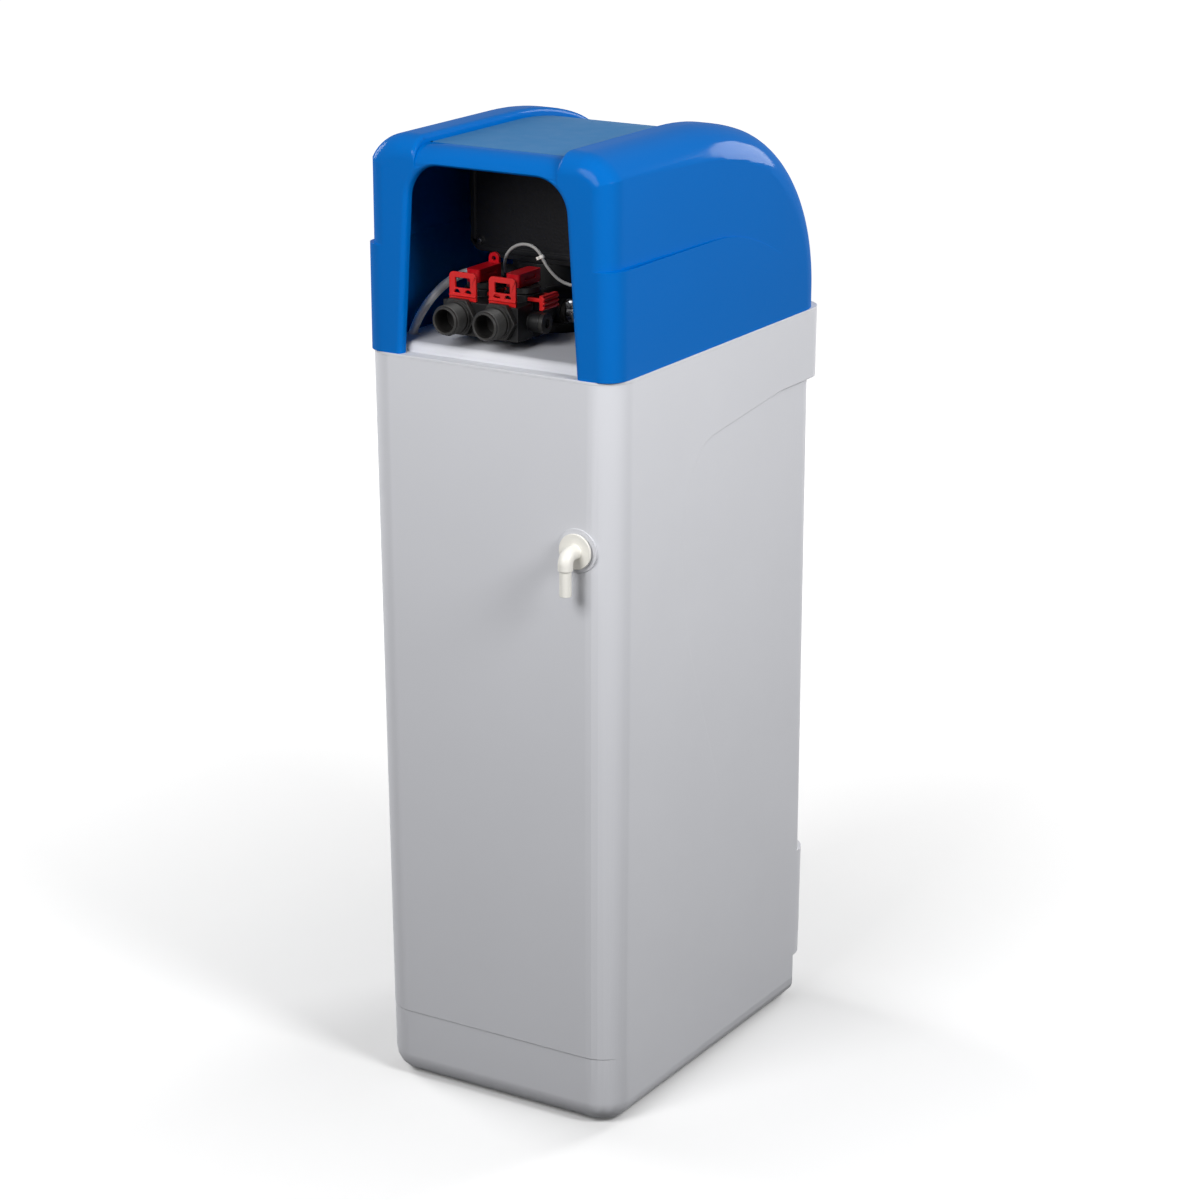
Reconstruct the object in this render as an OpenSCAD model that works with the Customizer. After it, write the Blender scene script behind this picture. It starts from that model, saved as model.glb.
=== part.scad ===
// Cabinet water softener: a grey salt cabinet, a blue lift-off hood with a salt lid, and the resin
// tank, control valve and bypass that they cover. Millimetres, +Z up, +Y is the plumbing side.
// The origin is on the floor, under the middle of the cabinet.

/* [Cabinet] */
// Width of the cabinet at its rim
cab_w = 320; // [304:1:350]
// Depth of the cabinet at its rim
cab_d = 468; // [455:1:510]
// Height of the rim that carries the hood
cab_h = 853; // [820:1:900]
// Wall of the cabinet
cab_wall = 4; // [3:0.5:5]
// Corner radius of the cabinet in plan
cab_corner_r = 36; // [32:1:44]
// How much each side draws in from rim to floor
cab_draft = 6; // [4:0.5:7]
// Rounding of the bottom edge
foot_r = 28; // [16:1:30]
// Height of the proud band under the rim
band_h = 81; // [60:1:110]
// Depth of the recessed front below the band
front_recess = 15; // [8:1:20]
// Depth of the recess in the sides, just below the band
side_recess = 3.2; // [2:0.2:4]
// Depth at which the side recess ends, behind the middle of the cabinet
recess_reach = 96; // [70:1:130]
// Height of the proud plinth at the front
plinth_h = 192; // [150:1:230]
// Height of the toe recess under the plinth
toe_h = 57; // [40:1:80]
// Depth of the toe recess
toe_depth = 22; // [10:1:26]

/* [Deck] */
// Thickness of the flange that lies on the cabinet's wall
deck_flange_t = 3; // [2:0.5:5]
// Thickness of the deck
deck_t = 4; // [3:0.5:5]
// Rise of the deck above the rim
deck_rise = 11; // [8:1:16]
// Ledge left outside the raised deck for the hood
deck_inset = 18; // [12:1:24]
// Rounding of the raised deck's edge
deck_edge_r = 7; // [3:1:8]
// Width of the salt mouth
mouth_w = 216; // [160:1:236]
// Deck left between the salt mouth and the valve's hole
mouth_back = 31; // [20:1:60]
// Corner radius of the salt mouth
mouth_r = 28; // [15:1:40]
// Drop of the chute under the salt mouth
chute_drop = 24; // [10:1:30]

/* [Hood] */
// Height of the hood above the rim
hood_h = 235; // [226:1:250]
// Wall of the hood
hood_wall = 4; // [3:0.5:5]
// Thickness of the hood's rear frame
hood_frame_t = 10; // [8:1:14]
// Inset of the hood from the cabinet's rim
hood_gap = 1.5; // [1:0.5:3]
// Rounding of the ridges' outer edges
crest_r = 50; // [40:1:60]
// Rounding of the rear edge
rear_r = 24; // [18:1:30]
// Radius of the gentle stretch of the roof
roof_r = 430; // [380:1:480]
// Radius of the front bend
front_r = 202; // [190:1:206]
// Height of the skirt's step above the rim
skirt_h = 116; // [100:1:130]
// Depth of the skirt's step at the rear
step_in = 6; // [3:0.5:7]
// Half-width of the rear window at the rim
window_half_w = 110; // [104:1:116]
// Half-width of the rear window at its top, before rounding
window_top_half_w = 96; // [86:1:100]
// Height of the rear window
window_h = 206; // [196:1:210]
// Corner radius of the rear window
window_r = 38; // [25:1:45]

/* [Salt lid] */
// Width of the groove between the ridges
groove_w = 176; // [164:1:182]
// Depth of the groove, to the lid's top
groove_depth = 9; // [6:1:11]
// Thickness of the lid
lid_t = 5; // [4:0.5:6]
// Gap round the lid
lid_gap = 0.8; // [0.5:0.1:1.2]
// Play under the lid
lid_play = 0.4; // [0.3:0.1:0.6]
// Distance from the rear edge of the hood to the lid's hinge
lid_setback = 30; // [26:1:40]
// Height of the lid's lower edge above the rim
lid_end = 36; // [30:1:60]
// Width of the ledge that the lid rests on
lid_ledge = 10; // [7:1:14]
// Radius of the lid's hinge stubs
stub_r = 1.8; // [1.5:0.1:2]
// Width of the lid's finger lip
lip_w = 70; // [40:1:100]

/* [Resin tank] */
// Place of the tank's axis to the side of the middle
valve_x = 30; // [22:1:36]
// Distance from the rear of the cabinet to the tank's axis
valve_back = 184; // [180:1:190]
// How much the tank's foot draws in towards the floor
foot_taper = 8; // [6:1:14]
// Wall of the tank
tank_wall = 5; // [3:0.5:7]
// Height of the tank's domes
dome_h = 56; // [45:1:65]
// Radius of the tank's neck
neck_r = 38; // [35:1:41]
// Radius of the riser tube
riser_r = 13.3; // [12:0.1:14]

/* [Brine well] */
// Radius of the brine well
well_r = 38; // [34:1:40]
// Gap from the brine well to the rounding of the floor's edge
well_gap = 4; // [3:1:8]
// Distance from the rim down to the top of the brine well
well_drop = 89; // [80:1:120]
// Radius of the pickup tube
pickup_r = 6; // [5:0.5:7]
// Radius of the float
float_r = 24; // [20:1:26]
// Height of the float
float_h = 46; // [30:1:60]

/* [Overflow] */
// Distance from the cabinet's side to the overflow
overflow_inset = 48; // [46:1:90]
// Distance from the rim down to the overflow
overflow_drop = 184; // [140:1:240]
// Radius of the overflow spigot in the wall
overflow_r = 9; // [7.5:0.5:10]
// Radius of the overflow elbow's flange
overflow_flange_r = 19.5; // [17:0.5:22]
// Radius of the overflow barb
barb_r = 6.5; // [5.5:0.5:7]
// Stand-off of the overflow leg from the wall
overflow_reach = 21; // [16:1:30]
// Length of the overflow leg
overflow_leg = 44; // [34:1:60]

/* [Bypass] */
// Height of the ports above the rim
port_rise = 42; // [40:1:46]
// Distance between the two ports
port_pitch = 50.4; // [48.4:0.2:53]
// Distance from the valve's axis to the bypass rotors
bypass_reach = 102; // [100:1:106]
// Radius of the bypass rotors
rotor_r = 17.5; // [16:0.5:18]
// Running clearance of turning fits
fit = 0.06; // [0.04:0.01:0.09]
// Thread radius of the pipe connectors
thread_r = 16.62; // [13:0.01:17]
// Length of the pipe thread
thread_len = 21; // [16:1:24]
// Radius over the corners of the connectors' hexagon
hex_r = 22; // [20:0.5:23]
// Bore radius of the pipe connectors
pipe_bore_r = 12.4; // [9:0.1:12.6]
// Length of the bypass handles
handle_len = 46; // [38:1:47]
// Width of the bypass handles
handle_w = 17; // [13:1:19]
// Height of the bypass handles
handle_h = 14; // [10:1:16]
// Width of the red connector clips
clip_w = 34; // [32:1:38]
// Thickness of the red clips
clip_t = 3; // [2.4:0.2:3.4]

/* [Control head] */
// Width of the control head
head_w = 170; // [160:1:174]
// Height of the control head
head_h = 108; // [100:1:114]
// Depth of the control head
head_d = 88; // [84:1:92]
// Wall of the control head's cover
head_wall = 3; // [2.4:0.2:4]
// Thickness of the control head's back panel
panel_t = 4; // [3:0.5:5]
// Corner radius of the back panel
panel_r = 14; // [8:1:20]
// Tooth size of the drive gears
gear_module = 1; // [0.9:0.05:1.05]
// Teeth of the drive gear
gear_teeth = 48; // [44:1:50]
// Teeth of the motor pinion
pinion_teeth = 12; // [11:1:14]
// Width of a key
key_w = 15; // [11:1:18]
// Height of a key
key_h = 10; // [8:1:14]
// Distance between the keys
key_pitch = 26; // [22:1:32]
// Stroke of a key
key_stroke = 1.2; // [0.8:0.1:1.6]

/* [Tube and cable] */
// Radius of the brine tube
tube_r = 4.75; // [4:0.25:5]
// Bow of the brine tube above the deck
tube_bow = 46; // [36:1:50]
// Bow of the brine tube under the deck
tube_sag = 70; // [60:1:80]
// Radius of the meter cable
cable_r = 1.8; // [1.5:0.1:2]
// Height of the meter cable's loop over the sensor
cable_rise = 26; // [20:1:34]

/* [Hidden] */
$fn = 48;
eps = 0.01;
seat_gap = 0.3;
grey = [0.80, 0.80, 0.81];
blue = [0.0, 0.37, 0.75];
lid_blue = [0.31, 0.48, 0.66];
red = [0.85, 0.07, 0.08];
black = [0.13, 0.13, 0.13];
dark = [0.2, 0.2, 0.2];
white = [0.92, 0.91, 0.88];
ceramic = [0.9, 0.88, 0.8];
steel = [0.72, 0.73, 0.75];
rubber = [0.08, 0.08, 0.08];

// Cabinet
cab_top = cab_h - deck_flange_t;
band_z = cab_h - band_h;
core_half_w = half_w(band_z) - side_recess;
function half_w(z) = cab_w / 2 - cab_draft * (1 - z / cab_h);
function half_d(z) = cab_d / 2 - cab_draft * (1 - z / cab_h);

// Places of the tank, the well and the overflow in the cabinet. The tank's foot and the well stand on the
// flat of the floor, inside the rounding of its edge.
floor_half_w = cab_w / 2 - cab_draft - foot_r;
floor_half_d = cab_d / 2 - cab_draft - foot_r;
valve_y = cab_d / 2 - valve_back;
tank_r = floor_half_w - valve_x + foot_taper;
well_x = well_gap + well_r - floor_half_w;
well_y = floor_half_d - well_r - well_gap;
well_top = cab_h - well_drop;
overflow_x = overflow_inset - cab_w / 2;
overflow_z = cab_h - overflow_drop;

// Deck
deck_z = cab_h + deck_rise;
deck_play = 1.2;
deck_slab = 0.5;
valve_hole_r = 60;
mouth_gap = 8;
chute_wall = 3;
rib_drop = 12;
rib_t = 3;
rib_play = 0.6;

// Hood: the crest line is flat at the rear, then bends by two tangent arcs to the vertical front.
// The arcs meet on the slope of a 7-24-25 triangle, so that their ends lie on exact numbers.
slope_rise = 24;
slope_run = 7;
slope_sin = slope_run / 25;
slope_cos = slope_rise / 25;
roof_angle = asin(slope_sin);
hood_top = cab_h + hood_h;
hood_half_w = cab_w / 2 - hood_gap;
hood_half_d = cab_d / 2 - hood_gap;
flat_end = -hood_half_d + roof_r * slope_sin + front_r * (1 - slope_sin);
bend_y = -hood_half_d + front_r;
bend_z = hood_top - roof_r + (roof_r - front_r) * slope_cos;
cap_y = hood_half_d - rear_r;
groove_half_w = groove_w / 2;
seat_depth = groove_depth + lid_t + lid_play;
lid_half_w = groove_half_w - lid_gap;
hinge_y = hood_half_d - lid_setback - lid_t / 2;
hinge_z = hood_top - groove_depth - lid_t / 2;
hinge_land = 80;
salt_rear_y = hinge_y - hinge_land;
step_z = cab_h + skirt_h;
step_fade_y = -130;
lip_h = 9;
lip_out = 5;

// The raised deck ends behind the hood's front groove, and the salt mouth lies on it in front of the valve
plateau_front = hood_gap - cab_d / 2 + seat_depth + hood_wall + deck_play;
plateau_rear = cab_d / 2 - deck_inset;
mouth_front = plateau_front + mouth_gap;
mouth_d = valve_y - valve_hole_r - mouth_back - mouth_front;
mouth_y = mouth_front + mouth_d / 2;

// Tank
tank_z = cab_wall + 14;
port_z = cab_h + port_rise;
neck_top = port_z - 33;
tank_top = neck_top - 30;
seal_cord_r = 1.9;
shoulder_z = neck_top + 2 * seal_cord_r;
collar_r = 52;
collar_z = neck_top - 20;
body_z = neck_top + 10;
chamber_floor = port_z + 17;
bonnet_z = port_z + 41;
bonnet_t = 5;
chamber_r = 32;

// Bypass
rotor_y = valve_y + bypass_reach;
port_face_y = rotor_y - 32;
spigot_len = 12;
block_rear_y = rotor_y + 46;
block_front_y = block_rear_y - 30;
barrel_r = 21;
port_r = 14;
port_web = 24;
flow_r = 11;
block_half_w = port_pitch / 2 + 22;
block_low = port_z - 21;
block_top = port_z + 16;
collar_top = block_top + 8;
fork_z = block_top + 1.6;
fork_t = 4;
neck_groove_r = 11;
fork_arm = 4;
disc_low = collar_top + 0.6;
disc_t = 6;
handle_z = disc_low + disc_t + 1.5;
clip_y = block_rear_y - 4;
clip_low = port_z - 8;
clip_top = block_top + 30;
connector_collar_t = 7;
connector_ring_t = 4;
connector_end_y = block_rear_y + connector_collar_t + connector_ring_t + thread_len;
ports = [valve_x + port_pitch / 2, valve_x - port_pitch / 2];

// Control head
head_z = bonnet_z + bonnet_t;
head_rear_y = valve_y + 38;
head_front_y = head_rear_y - head_d;
bonnet_w = head_w - 40;
bonnet_d = head_d - 12;
gear_z = head_z + 8;
gear_t = 8;
shaft_r = 6;
bracket_z = gear_z + gear_t + 3;
bracket_t = 3;
gear_r = gear_module * gear_teeth / 2;
pinion_r = gear_module * pinion_teeth / 2;
motor_x = valve_x + gear_r + pinion_r;
motor_r = 17;
motor_h = 34;
pcb_y = head_front_y + head_wall + 6;
key_z = head_z + 26;
window_z = head_z + 68;

// Routes of the brine tube, from the valve through the deck to the well, and of the meter cable, from the
// sensor up over its tie and down to the back panel. Each stretch is one curve of four points.
tube_hole_inset = 31;
tube_hole_back = 52;
tube_hole_r = 8;
tube_hole = [cab_w / 2 - tube_hole_inset, cab_d / 2 - tube_hole_back, deck_z];
side_port_reach = 46;
brine_port_x = valve_x + side_port_reach;
brine_port_y = valve_y + 34;
brine_port_z = port_z + 23;
tube_seat = 6;
brine_end = [brine_port_x + tube_seat, brine_port_y + tube_seat / 3, brine_port_z];
well_end = [well_x, well_y, well_top];
tube_down = [0.24, 0.22, -0.95];
tube_steps = 10;
tube_plumb = 14;
tube_turn = well_end + [0, 0, tube_plumb];
tube_route = concat(
    bezier(brine_end, brine_end + tube_bow * [0.72, 0.46, 0.3], tube_hole - tube_bow * tube_down, tube_hole,
           tube_steps),
    [for (k = [1:tube_steps]) bezier(tube_hole, tube_hole + tube_sag * tube_down,
           tube_turn + tube_sag * [0, 0, 1.05], tube_turn, tube_steps)[k]],
    [well_end]);
cable_seat = 6;
sensor_h = 30;
sensor_top = [ports[0], port_face_y - 12, port_z + sensor_h];
panel_end = [valve_x - 64, head_rear_y - panel_t, head_z + 22];
cable_span = 54;
tie_spot = [sensor_top[0] - cable_span, sensor_top[1] + cable_span / 4, sensor_top[2] + cable_rise];
cable_low = [panel_end[0] + 5, head_rear_y + 16, port_z + 25];
cable_lean = [-0.42, -0.12, -0.9];
cable_steps = 6;
cable_route = concat(
    [sensor_top - [0, 0, cable_seat]],
    bezier(sensor_top, sensor_top + cable_rise * [0.25, 0.35, 1.15], tie_spot - 1.1 * cable_rise * cable_lean,
           tie_spot, cable_steps),
    [for (k = [1:cable_steps]) bezier(tie_spot, tie_spot + 0.9 * cable_rise * cable_lean,
           cable_low + 0.45 * cable_rise * [1, 0.3, 0], cable_low, cable_steps)[k]],
    [for (k = [1:cable_steps]) bezier(cable_low, cable_low - 0.55 * cable_rise * [1, 0.3, 0],
           panel_end + cable_rise * [0, 0.8, 0], panel_end, cable_steps)[k]]);

// Shared shapes

// Rectangle with round corners, centred
module rounded_rect(w, d, r) {
    square([w - 2 * r, d], center = true);
    square([w, d - 2 * r], center = true);
    for (x = [-1, 1], y = [-1, 1])
        translate([x * (w / 2 - r), y * (d / 2 - r)]) circle(r);
}

// Sweeps a side view, drawn as (y, z), along X
module across(w) {
    rotate([90, 0, 90]) linear_extrude(w, center = true) children();
}

// Sweeps a rear view, drawn as (x, z), from y0 towards -Y
module towards_front(y0, len) {
    translate([0, y0, 0]) rotate([90, 0, 0]) linear_extrude(len) children();
}

// A cylinder along +Y from a start point
module rod_y(x, y, z, len, r) {
    translate([x, y, z]) rotate([-90, 0, 0]) cylinder(h = len, r = r);
}

// A cylinder along +X from a start point
module rod_x(x, y, z, len, r) {
    translate([x, y, z]) rotate([0, 90, 0]) cylinder(h = len, r = r);
}

function bezier(a, b, c, d, n) =
    [for (k = [0:n]) let (t = k / n, s = 1 - t)
        s * s * s * a + 3 * s * s * t * b + 3 * s * t * t * c + t * t * t * d];

// A round tube along a route: rings that turn with the route, and two end caps
module swept_tube(route, r, sides) {
    n = len(route);
    dirs = [for (k = [0:n - 1]) unit(route[min(k + 1, n - 1)] - route[max(k - 1, 0)])];
    sides_at = frames(dirs, [unit(cross(dirs[0], [0.3, 0.9, 0.2]))]);
    points = [for (k = [0:n - 1]) let (u = sides_at[k], v = cross(dirs[k], u))
        for (j = [0:sides - 1]) route[k] + r * (u * cos(360 * j / sides) + v * sin(360 * j / sides))];
    quads = [for (k = [0:n - 2], j = [0:sides - 1]) let (a = k * sides + j, b = k * sides + (j + 1) % sides)
        each [[a, a + sides, b], [b, a + sides, b + sides]]];
    first = [for (j = [1:sides - 2]) [0, j, j + 1]];
    last = [for (j = [1:sides - 2]) [(n - 1) * sides, (n - 1) * sides + j + 1, (n - 1) * sides + j]];
    polyhedron(points, concat(quads, first, last));
}

function unit(v) = v / norm(v);
function frames(dirs, done) = len(done) == len(dirs) ? done
    : let (k = len(done), u = done[k - 1]) frames(dirs, concat(done, [unit(u - dirs[k] * (u * dirs[k]))]));

// A spur gear's outline: straight-flanked teeth with backlash
module gear_outline(teeth, m) {
    pitch_r = teeth * m / 2;
    tip_r = pitch_r + 0.75 * m;
    root_r = pitch_r - 1.05 * m;
    half_pitch = 90 / teeth;
    tip_half = half_pitch * 0.46;
    root_half = half_pitch * 1.3;
    polygon([for (k = [0:teeth - 1]) let (c = 360 * k / teeth)
        each [for (p = [[root_r, -root_half], [tip_r, -tip_half], [tip_r, tip_half], [root_r, root_half]])
            p[0] * [cos(c + p[1]), sin(c + p[1])]]]);
}

// Cabinet and deck

module cabinet_slice(z, back, r) {
    translate([0, 0, z]) linear_extrude(eps)
        rounded_rect(2 * (half_w(z) - back), 2 * (half_d(z) - back), r, $fn = 32);
}

// The drafted body with its round bottom edge, drawn in by i all round
module cabinet_block(i, z_top) {
    round_r = foot_r - i;
    hull() {
        for (a = [0:18:90])
            let (back = i + round_r * (1 - sin(a)))
                cabinet_slice(i + round_r * (1 - cos(a)), back, cab_corner_r - back);
        cabinet_slice(z_top - eps, i, cab_corner_r - i);
    }
}

// Side view of the recess: below the band, in front of a curve, above the plinth
module recess_view(i) {
    fall = 17;
    top = band_z + i;
    start = [recess_reach - 68 + i, top - fall];
    polygon(concat(
        [[-cab_d, plinth_h - i], [-cab_d, top], [-cab_d / 2 + 110, top]],
        bezier(start, start + [56, -8], start + [84, -96], start + [46, -230], 10),
        [[recess_reach - 90, band_z * 0.45], [-40, plinth_h - i]]));
}

// The upright core that shows inside the recess
module recess_core(i) {
    depth = cab_d;
    front = -cab_d / 2 + front_recess + i;
    translate([0, front + depth / 2, -1]) linear_extrude(cab_h + 2)
        rounded_rect(2 * (core_half_w - i), depth, cab_corner_r - i);
}

// The core that shows inside the toe recess
module toe_core(i) {
    depth = cab_d;
    front = -half_d(0) + toe_depth + i;
    translate([0, front + depth / 2, -1]) linear_extrude(toe_h + i + 2)
        rounded_rect(cab_w, depth, cab_corner_r - i);
}

module cabinet_form(i, z_top) {
    difference() {
        cabinet_block(i, z_top);
        difference() {
            across(cab_w + 2) recess_view(i);
            recess_core(i);
        }
        difference() {
            translate([-cab_w, -cab_d, -1]) cube([2 * cab_w, cab_d, toe_h + i + 1]);
            toe_core(i);
        }
    }
}

// The flat pads on both faces of the rear wall round the overflow
pad_r = 24;
pad_t = 0.8;
pad_outer_y = half_d(overflow_z) + pad_t;
pad_inner_y = half_d(overflow_z) - cab_wall - pad_t;
grommet_neck_r = overflow_r + 2.5;

module cabinet_shell() {
    color(grey) difference() {
        union() {
            difference() {
                cabinet_form(0, cab_top);
                cabinet_form(cab_wall, cab_top + 1);
            }
            rod_y(overflow_x, pad_inner_y, overflow_z, pad_outer_y - pad_inner_y, pad_r);
        }
        rod_y(overflow_x, pad_inner_y - 1, overflow_z, pad_outer_y - pad_inner_y + 2, grommet_neck_r + eps);
    }
}

module mouth_outline(grow) {
    translate([0, mouth_y]) rounded_rect(mouth_w + 2 * grow, mouth_d + 2 * grow, mouth_r + grow);
}

module top_deck() {
    plateau_w = cab_w - 2 * deck_inset;
    plateau_d = plateau_rear - plateau_front;
    plateau_y = (plateau_rear + plateau_front) / 2;
    plateau_r = cab_corner_r - 10;
    color(grey) difference() {
        union() {
            translate([0, 0, cab_top]) linear_extrude(deck_flange_t) rounded_rect(cab_w, cab_d, cab_corner_r);
            hull() {
                translate([0, plateau_y, cab_h - 1]) linear_extrude(deck_slab)
                    rounded_rect(plateau_w, plateau_d, plateau_r, $fn = 32);
                for (a = [0:22.5:90]) let (back = deck_edge_r * (1 - cos(a)))
                    translate([0, plateau_y, deck_z - deck_edge_r * (1 - sin(a)) - deck_slab])
                        linear_extrude(deck_slab)
                        rounded_rect(plateau_w - 2 * back, plateau_d - 2 * back, plateau_r - back, $fn = 32);
            }
            translate([0, 0, cab_top - rib_drop]) linear_extrude(rib_drop + 1) difference() {
                rounded_rect(cab_w - 2 * (cab_wall + rib_play), cab_d - 2 * (cab_wall + rib_play),
                             cab_corner_r - cab_wall - rib_play);
                rounded_rect(cab_w - 2 * (cab_wall + rib_play + rib_t),
                             cab_d - 2 * (cab_wall + rib_play + rib_t),
                             cab_corner_r - cab_wall - rib_play - rib_t);
            }
        }
        difference() {
            translate([0, plateau_y, cab_top - 1]) linear_extrude(deck_z - deck_t - cab_top + 1)
                rounded_rect(plateau_w - 2 * deck_t, plateau_d - 2 * deck_t, plateau_r - deck_t);
            translate([0, 0, deck_z - deck_t - chute_drop]) linear_extrude(chute_drop + 1)
                mouth_outline(chute_wall);
        }
        translate([0, 0, cab_top - chute_drop]) linear_extrude(chute_drop + deck_rise + 10) mouth_outline(0);
        translate([valve_x, valve_y, cab_top - 1]) cylinder(h = deck_rise + 10, r = valve_hole_r);
        translate([tube_hole[0], tube_hole[1], cab_top - 1]) cylinder(h = deck_rise + 10, r = tube_hole_r);
    }
}

// Hood and lid

// Half-space that starts at its origin and runs along +Z
module beyond() {
    big = 2 * cab_h;
    translate([-big / 2, -big / 2, 0]) cube([big, big, big]);
}

// Carries a cross-section, drawn as (across, height over the crest), along the crest line down to z_low
module along_crest(y_rear, z_low) {
    below = 100;
    intersection() {
        union() {
            translate([0, y_rear, hood_top]) rotate([90, 0, 0]) linear_extrude(y_rear - flat_end) children();
            intersection() {
                crest_arc(flat_end, hood_top - roof_r, roof_r, 0, 2 * roof_angle) children();
                translate([0, flat_end, hood_top - roof_r]) rotate([roof_angle - 90, 0, 0]) beyond();
            }
            intersection() {
                crest_arc(bend_y, bend_z, front_r, roof_angle, 90) children();
                translate([0, 0, bend_z]) beyond();
            }
            translate([0, -hood_half_d, bend_z - below]) linear_extrude(below) mirror([0, 1]) intersection() {
                children();
                translate([-cab_w, -front_r]) square([2 * cab_w, front_r + 1]);
            }
        }
        translate([0, 0, z_low]) beyond();
    }
}

// One bend of the crest line about an axis along X
module crest_arc(y, z, r, start, angle) {
    translate([0, y, z]) rotate([0, 90, 0]) rotate(180 + start) rotate_extrude(angle = angle) intersection() {
        translate([r, 0]) rotate(-90) children();
        translate([0, -cab_w]) square([r + 1, 2 * cab_w]);
    }
}

// Cross-section of the hood drawn in by i: round ridges and the groove between them
module hood_section(i, groove) {
    half = hood_half_w - i;
    r = crest_r - i;
    reach = roof_r;
    difference() {
        union() {
            translate([-half, -reach]) square([2 * half, reach - i - r]);
            translate([r - half, -reach]) square([2 * (half - r), reach - i]);
            for (s = [-1, 1]) translate([s * (half - r), -i - r]) circle(r);
        }
        translate([-groove_half_w - i, -groove]) square([2 * (groove_half_w + i), groove + 1]);
    }
}

// The rear end of the hood, whose edge is rounded by r all the way round
module hood_rear(i, groove, r, low) {
    half = hood_half_w - i;
    ridge_r = crest_r - i;
    core_x = half - ridge_r;
    core_z = hood_top - crest_r;
    inner_x = groove_half_w + i;
    translate([0, cap_y, low]) linear_extrude(core_z - low) {
        translate([r - half, 0]) square([2 * (half - r), r]);
        for (s = [-1, 1]) translate([s * (half - r), 0]) intersection() {
            circle(r);
            translate([s > 0 ? 0 : -r, 0]) square([r, r]);
        }
    }
    rear_ridge(-inner_x, inner_x, hood_top - groove, core_z, r);
    for (s = [-1, 1]) {
        rear_ridge(s > 0 ? inner_x : -core_x, s > 0 ? core_x : -inner_x, hood_top - i, core_z, r);
        translate([s * core_x, cap_y, core_z]) rotate([-90, s > 0 ? 0 : -90, 0]) rotate(-90)
            rotate_extrude(angle = 90) {
                square([ridge_r - r, r]);
                translate([ridge_r - r, 0]) intersection() {
                    circle(r);
                    square([r, r]);
                }
            }
    }
}

// A straight stretch of the rear edge's rounding, from x0 to x1
module rear_ridge(x0, x1, top, low, r) {
    translate([(x0 + x1) / 2, cap_y, 0]) across(x1 - x0) {
        translate([0, low]) square([r, top - r - low]);
        translate([0, top - r]) intersection() {
            circle(r);
            square([r, r]);
        }
    }
}

// Side view of what lies above the skirt's step, which sinks and fades towards the front
module above_step(i) {
    polygon(concat(
        [[cab_d, hood_top + 1], [cab_d, step_z - i]],
        bezier([22, step_z - i], [-40, step_z - i], [-110, step_z - 26 - i], [-180, step_z - 76 - i], 8),
        [[-cab_d, cab_h - i], [-cab_d, hood_top + 1]]));
}

// Plan view of what lies outside the hood above the step, on the +X side: the side draws in towards the rear
// and ends in a round corner of its own
module beside_step(half, r) {
    rear_y = cap_y + r;
    slant = step_in / (rear_y - step_fade_y);
    centre_x = half - slant * (cap_y - step_fade_y) - r + eps;
    far = cab_w;
    difference() {
        polygon([[half, step_fade_y], [far, step_fade_y], [far, rear_y + 1], [centre_x, rear_y + 1],
                 [centre_x, cap_y], [half - slant * (cap_y - step_fade_y), cap_y]]);
        translate([centre_x, cap_y]) circle(r);
    }
}

module hood_form(i, groove, r) {
    low = cab_h - (i > 0 ? 1 : 0);
    half = hood_half_w - i;
    wedges = 4;
    difference() {
        union() {
            along_crest(cap_y, low) hood_section(i, groove);
            intersection() {
                across(2 * half) polygon([[bend_y, bend_z], [bend_y, bend_z - wedges * slope_rise],
                    [bend_y + wedges * slope_run, bend_z - wedges * slope_rise]]);
                translate([0, 0, low]) beyond();
            }
            hood_rear(i, groove, r, low);
        }
        intersection() {
            across(cab_w + 10) above_step(i);
            translate([0, 0, cab_h]) linear_extrude(hood_h + 4)
                for (s = [0, 1]) mirror([s, 0]) beside_step(half, r);
        }
    }
}

// The rear window: leaning legs and round top corners
module window_view() {
    top = cab_h + window_h;
    lean = atan((window_half_w - window_top_half_w) / window_h);
    mid_z = top - window_r;
    mid_x = window_half_w - (mid_z - cab_h) * tan(lean) - window_r / cos(lean);
    edge = [mid_x + window_r * cos(lean), mid_z + window_r * sin(lean)];
    low_x = window_half_w + tan(lean);
    polygon([[-low_x, cab_h - 1], [low_x, cab_h - 1], edge,
             [mid_x, top], [-mid_x, top], [-edge[0], edge[1]]]);
    for (s = [-1, 1]) translate([s * mid_x, mid_z]) circle(window_r);
}

module hood() {
    inner_groove = seat_depth + hood_wall;
    color(blue) difference() {
        hood_form(0, groove_depth, rear_r);
        hood_form(hood_wall, inner_groove, rear_r - hood_frame_t);
        along_crest(hinge_y + lid_t / 2 + lid_gap, cab_h + lid_end - lid_gap)
            translate([-groove_half_w, -seat_depth]) square([groove_w, seat_depth + 1]);
        along_crest(salt_rear_y, cab_h + lid_end + lid_ledge)
            translate([lid_ledge - groove_half_w, -inner_groove - 1])
                square([groove_w - 2 * lid_ledge, inner_groove + 2]);
        towards_front(hood_half_d + 1, hood_frame_t + rear_r + 1) window_view();
        rod_x(-groove_half_w - hood_wall - 1, hinge_y, hinge_z, groove_w + 2 * hood_wall + 2, stub_r + fit);
    }
}

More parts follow.
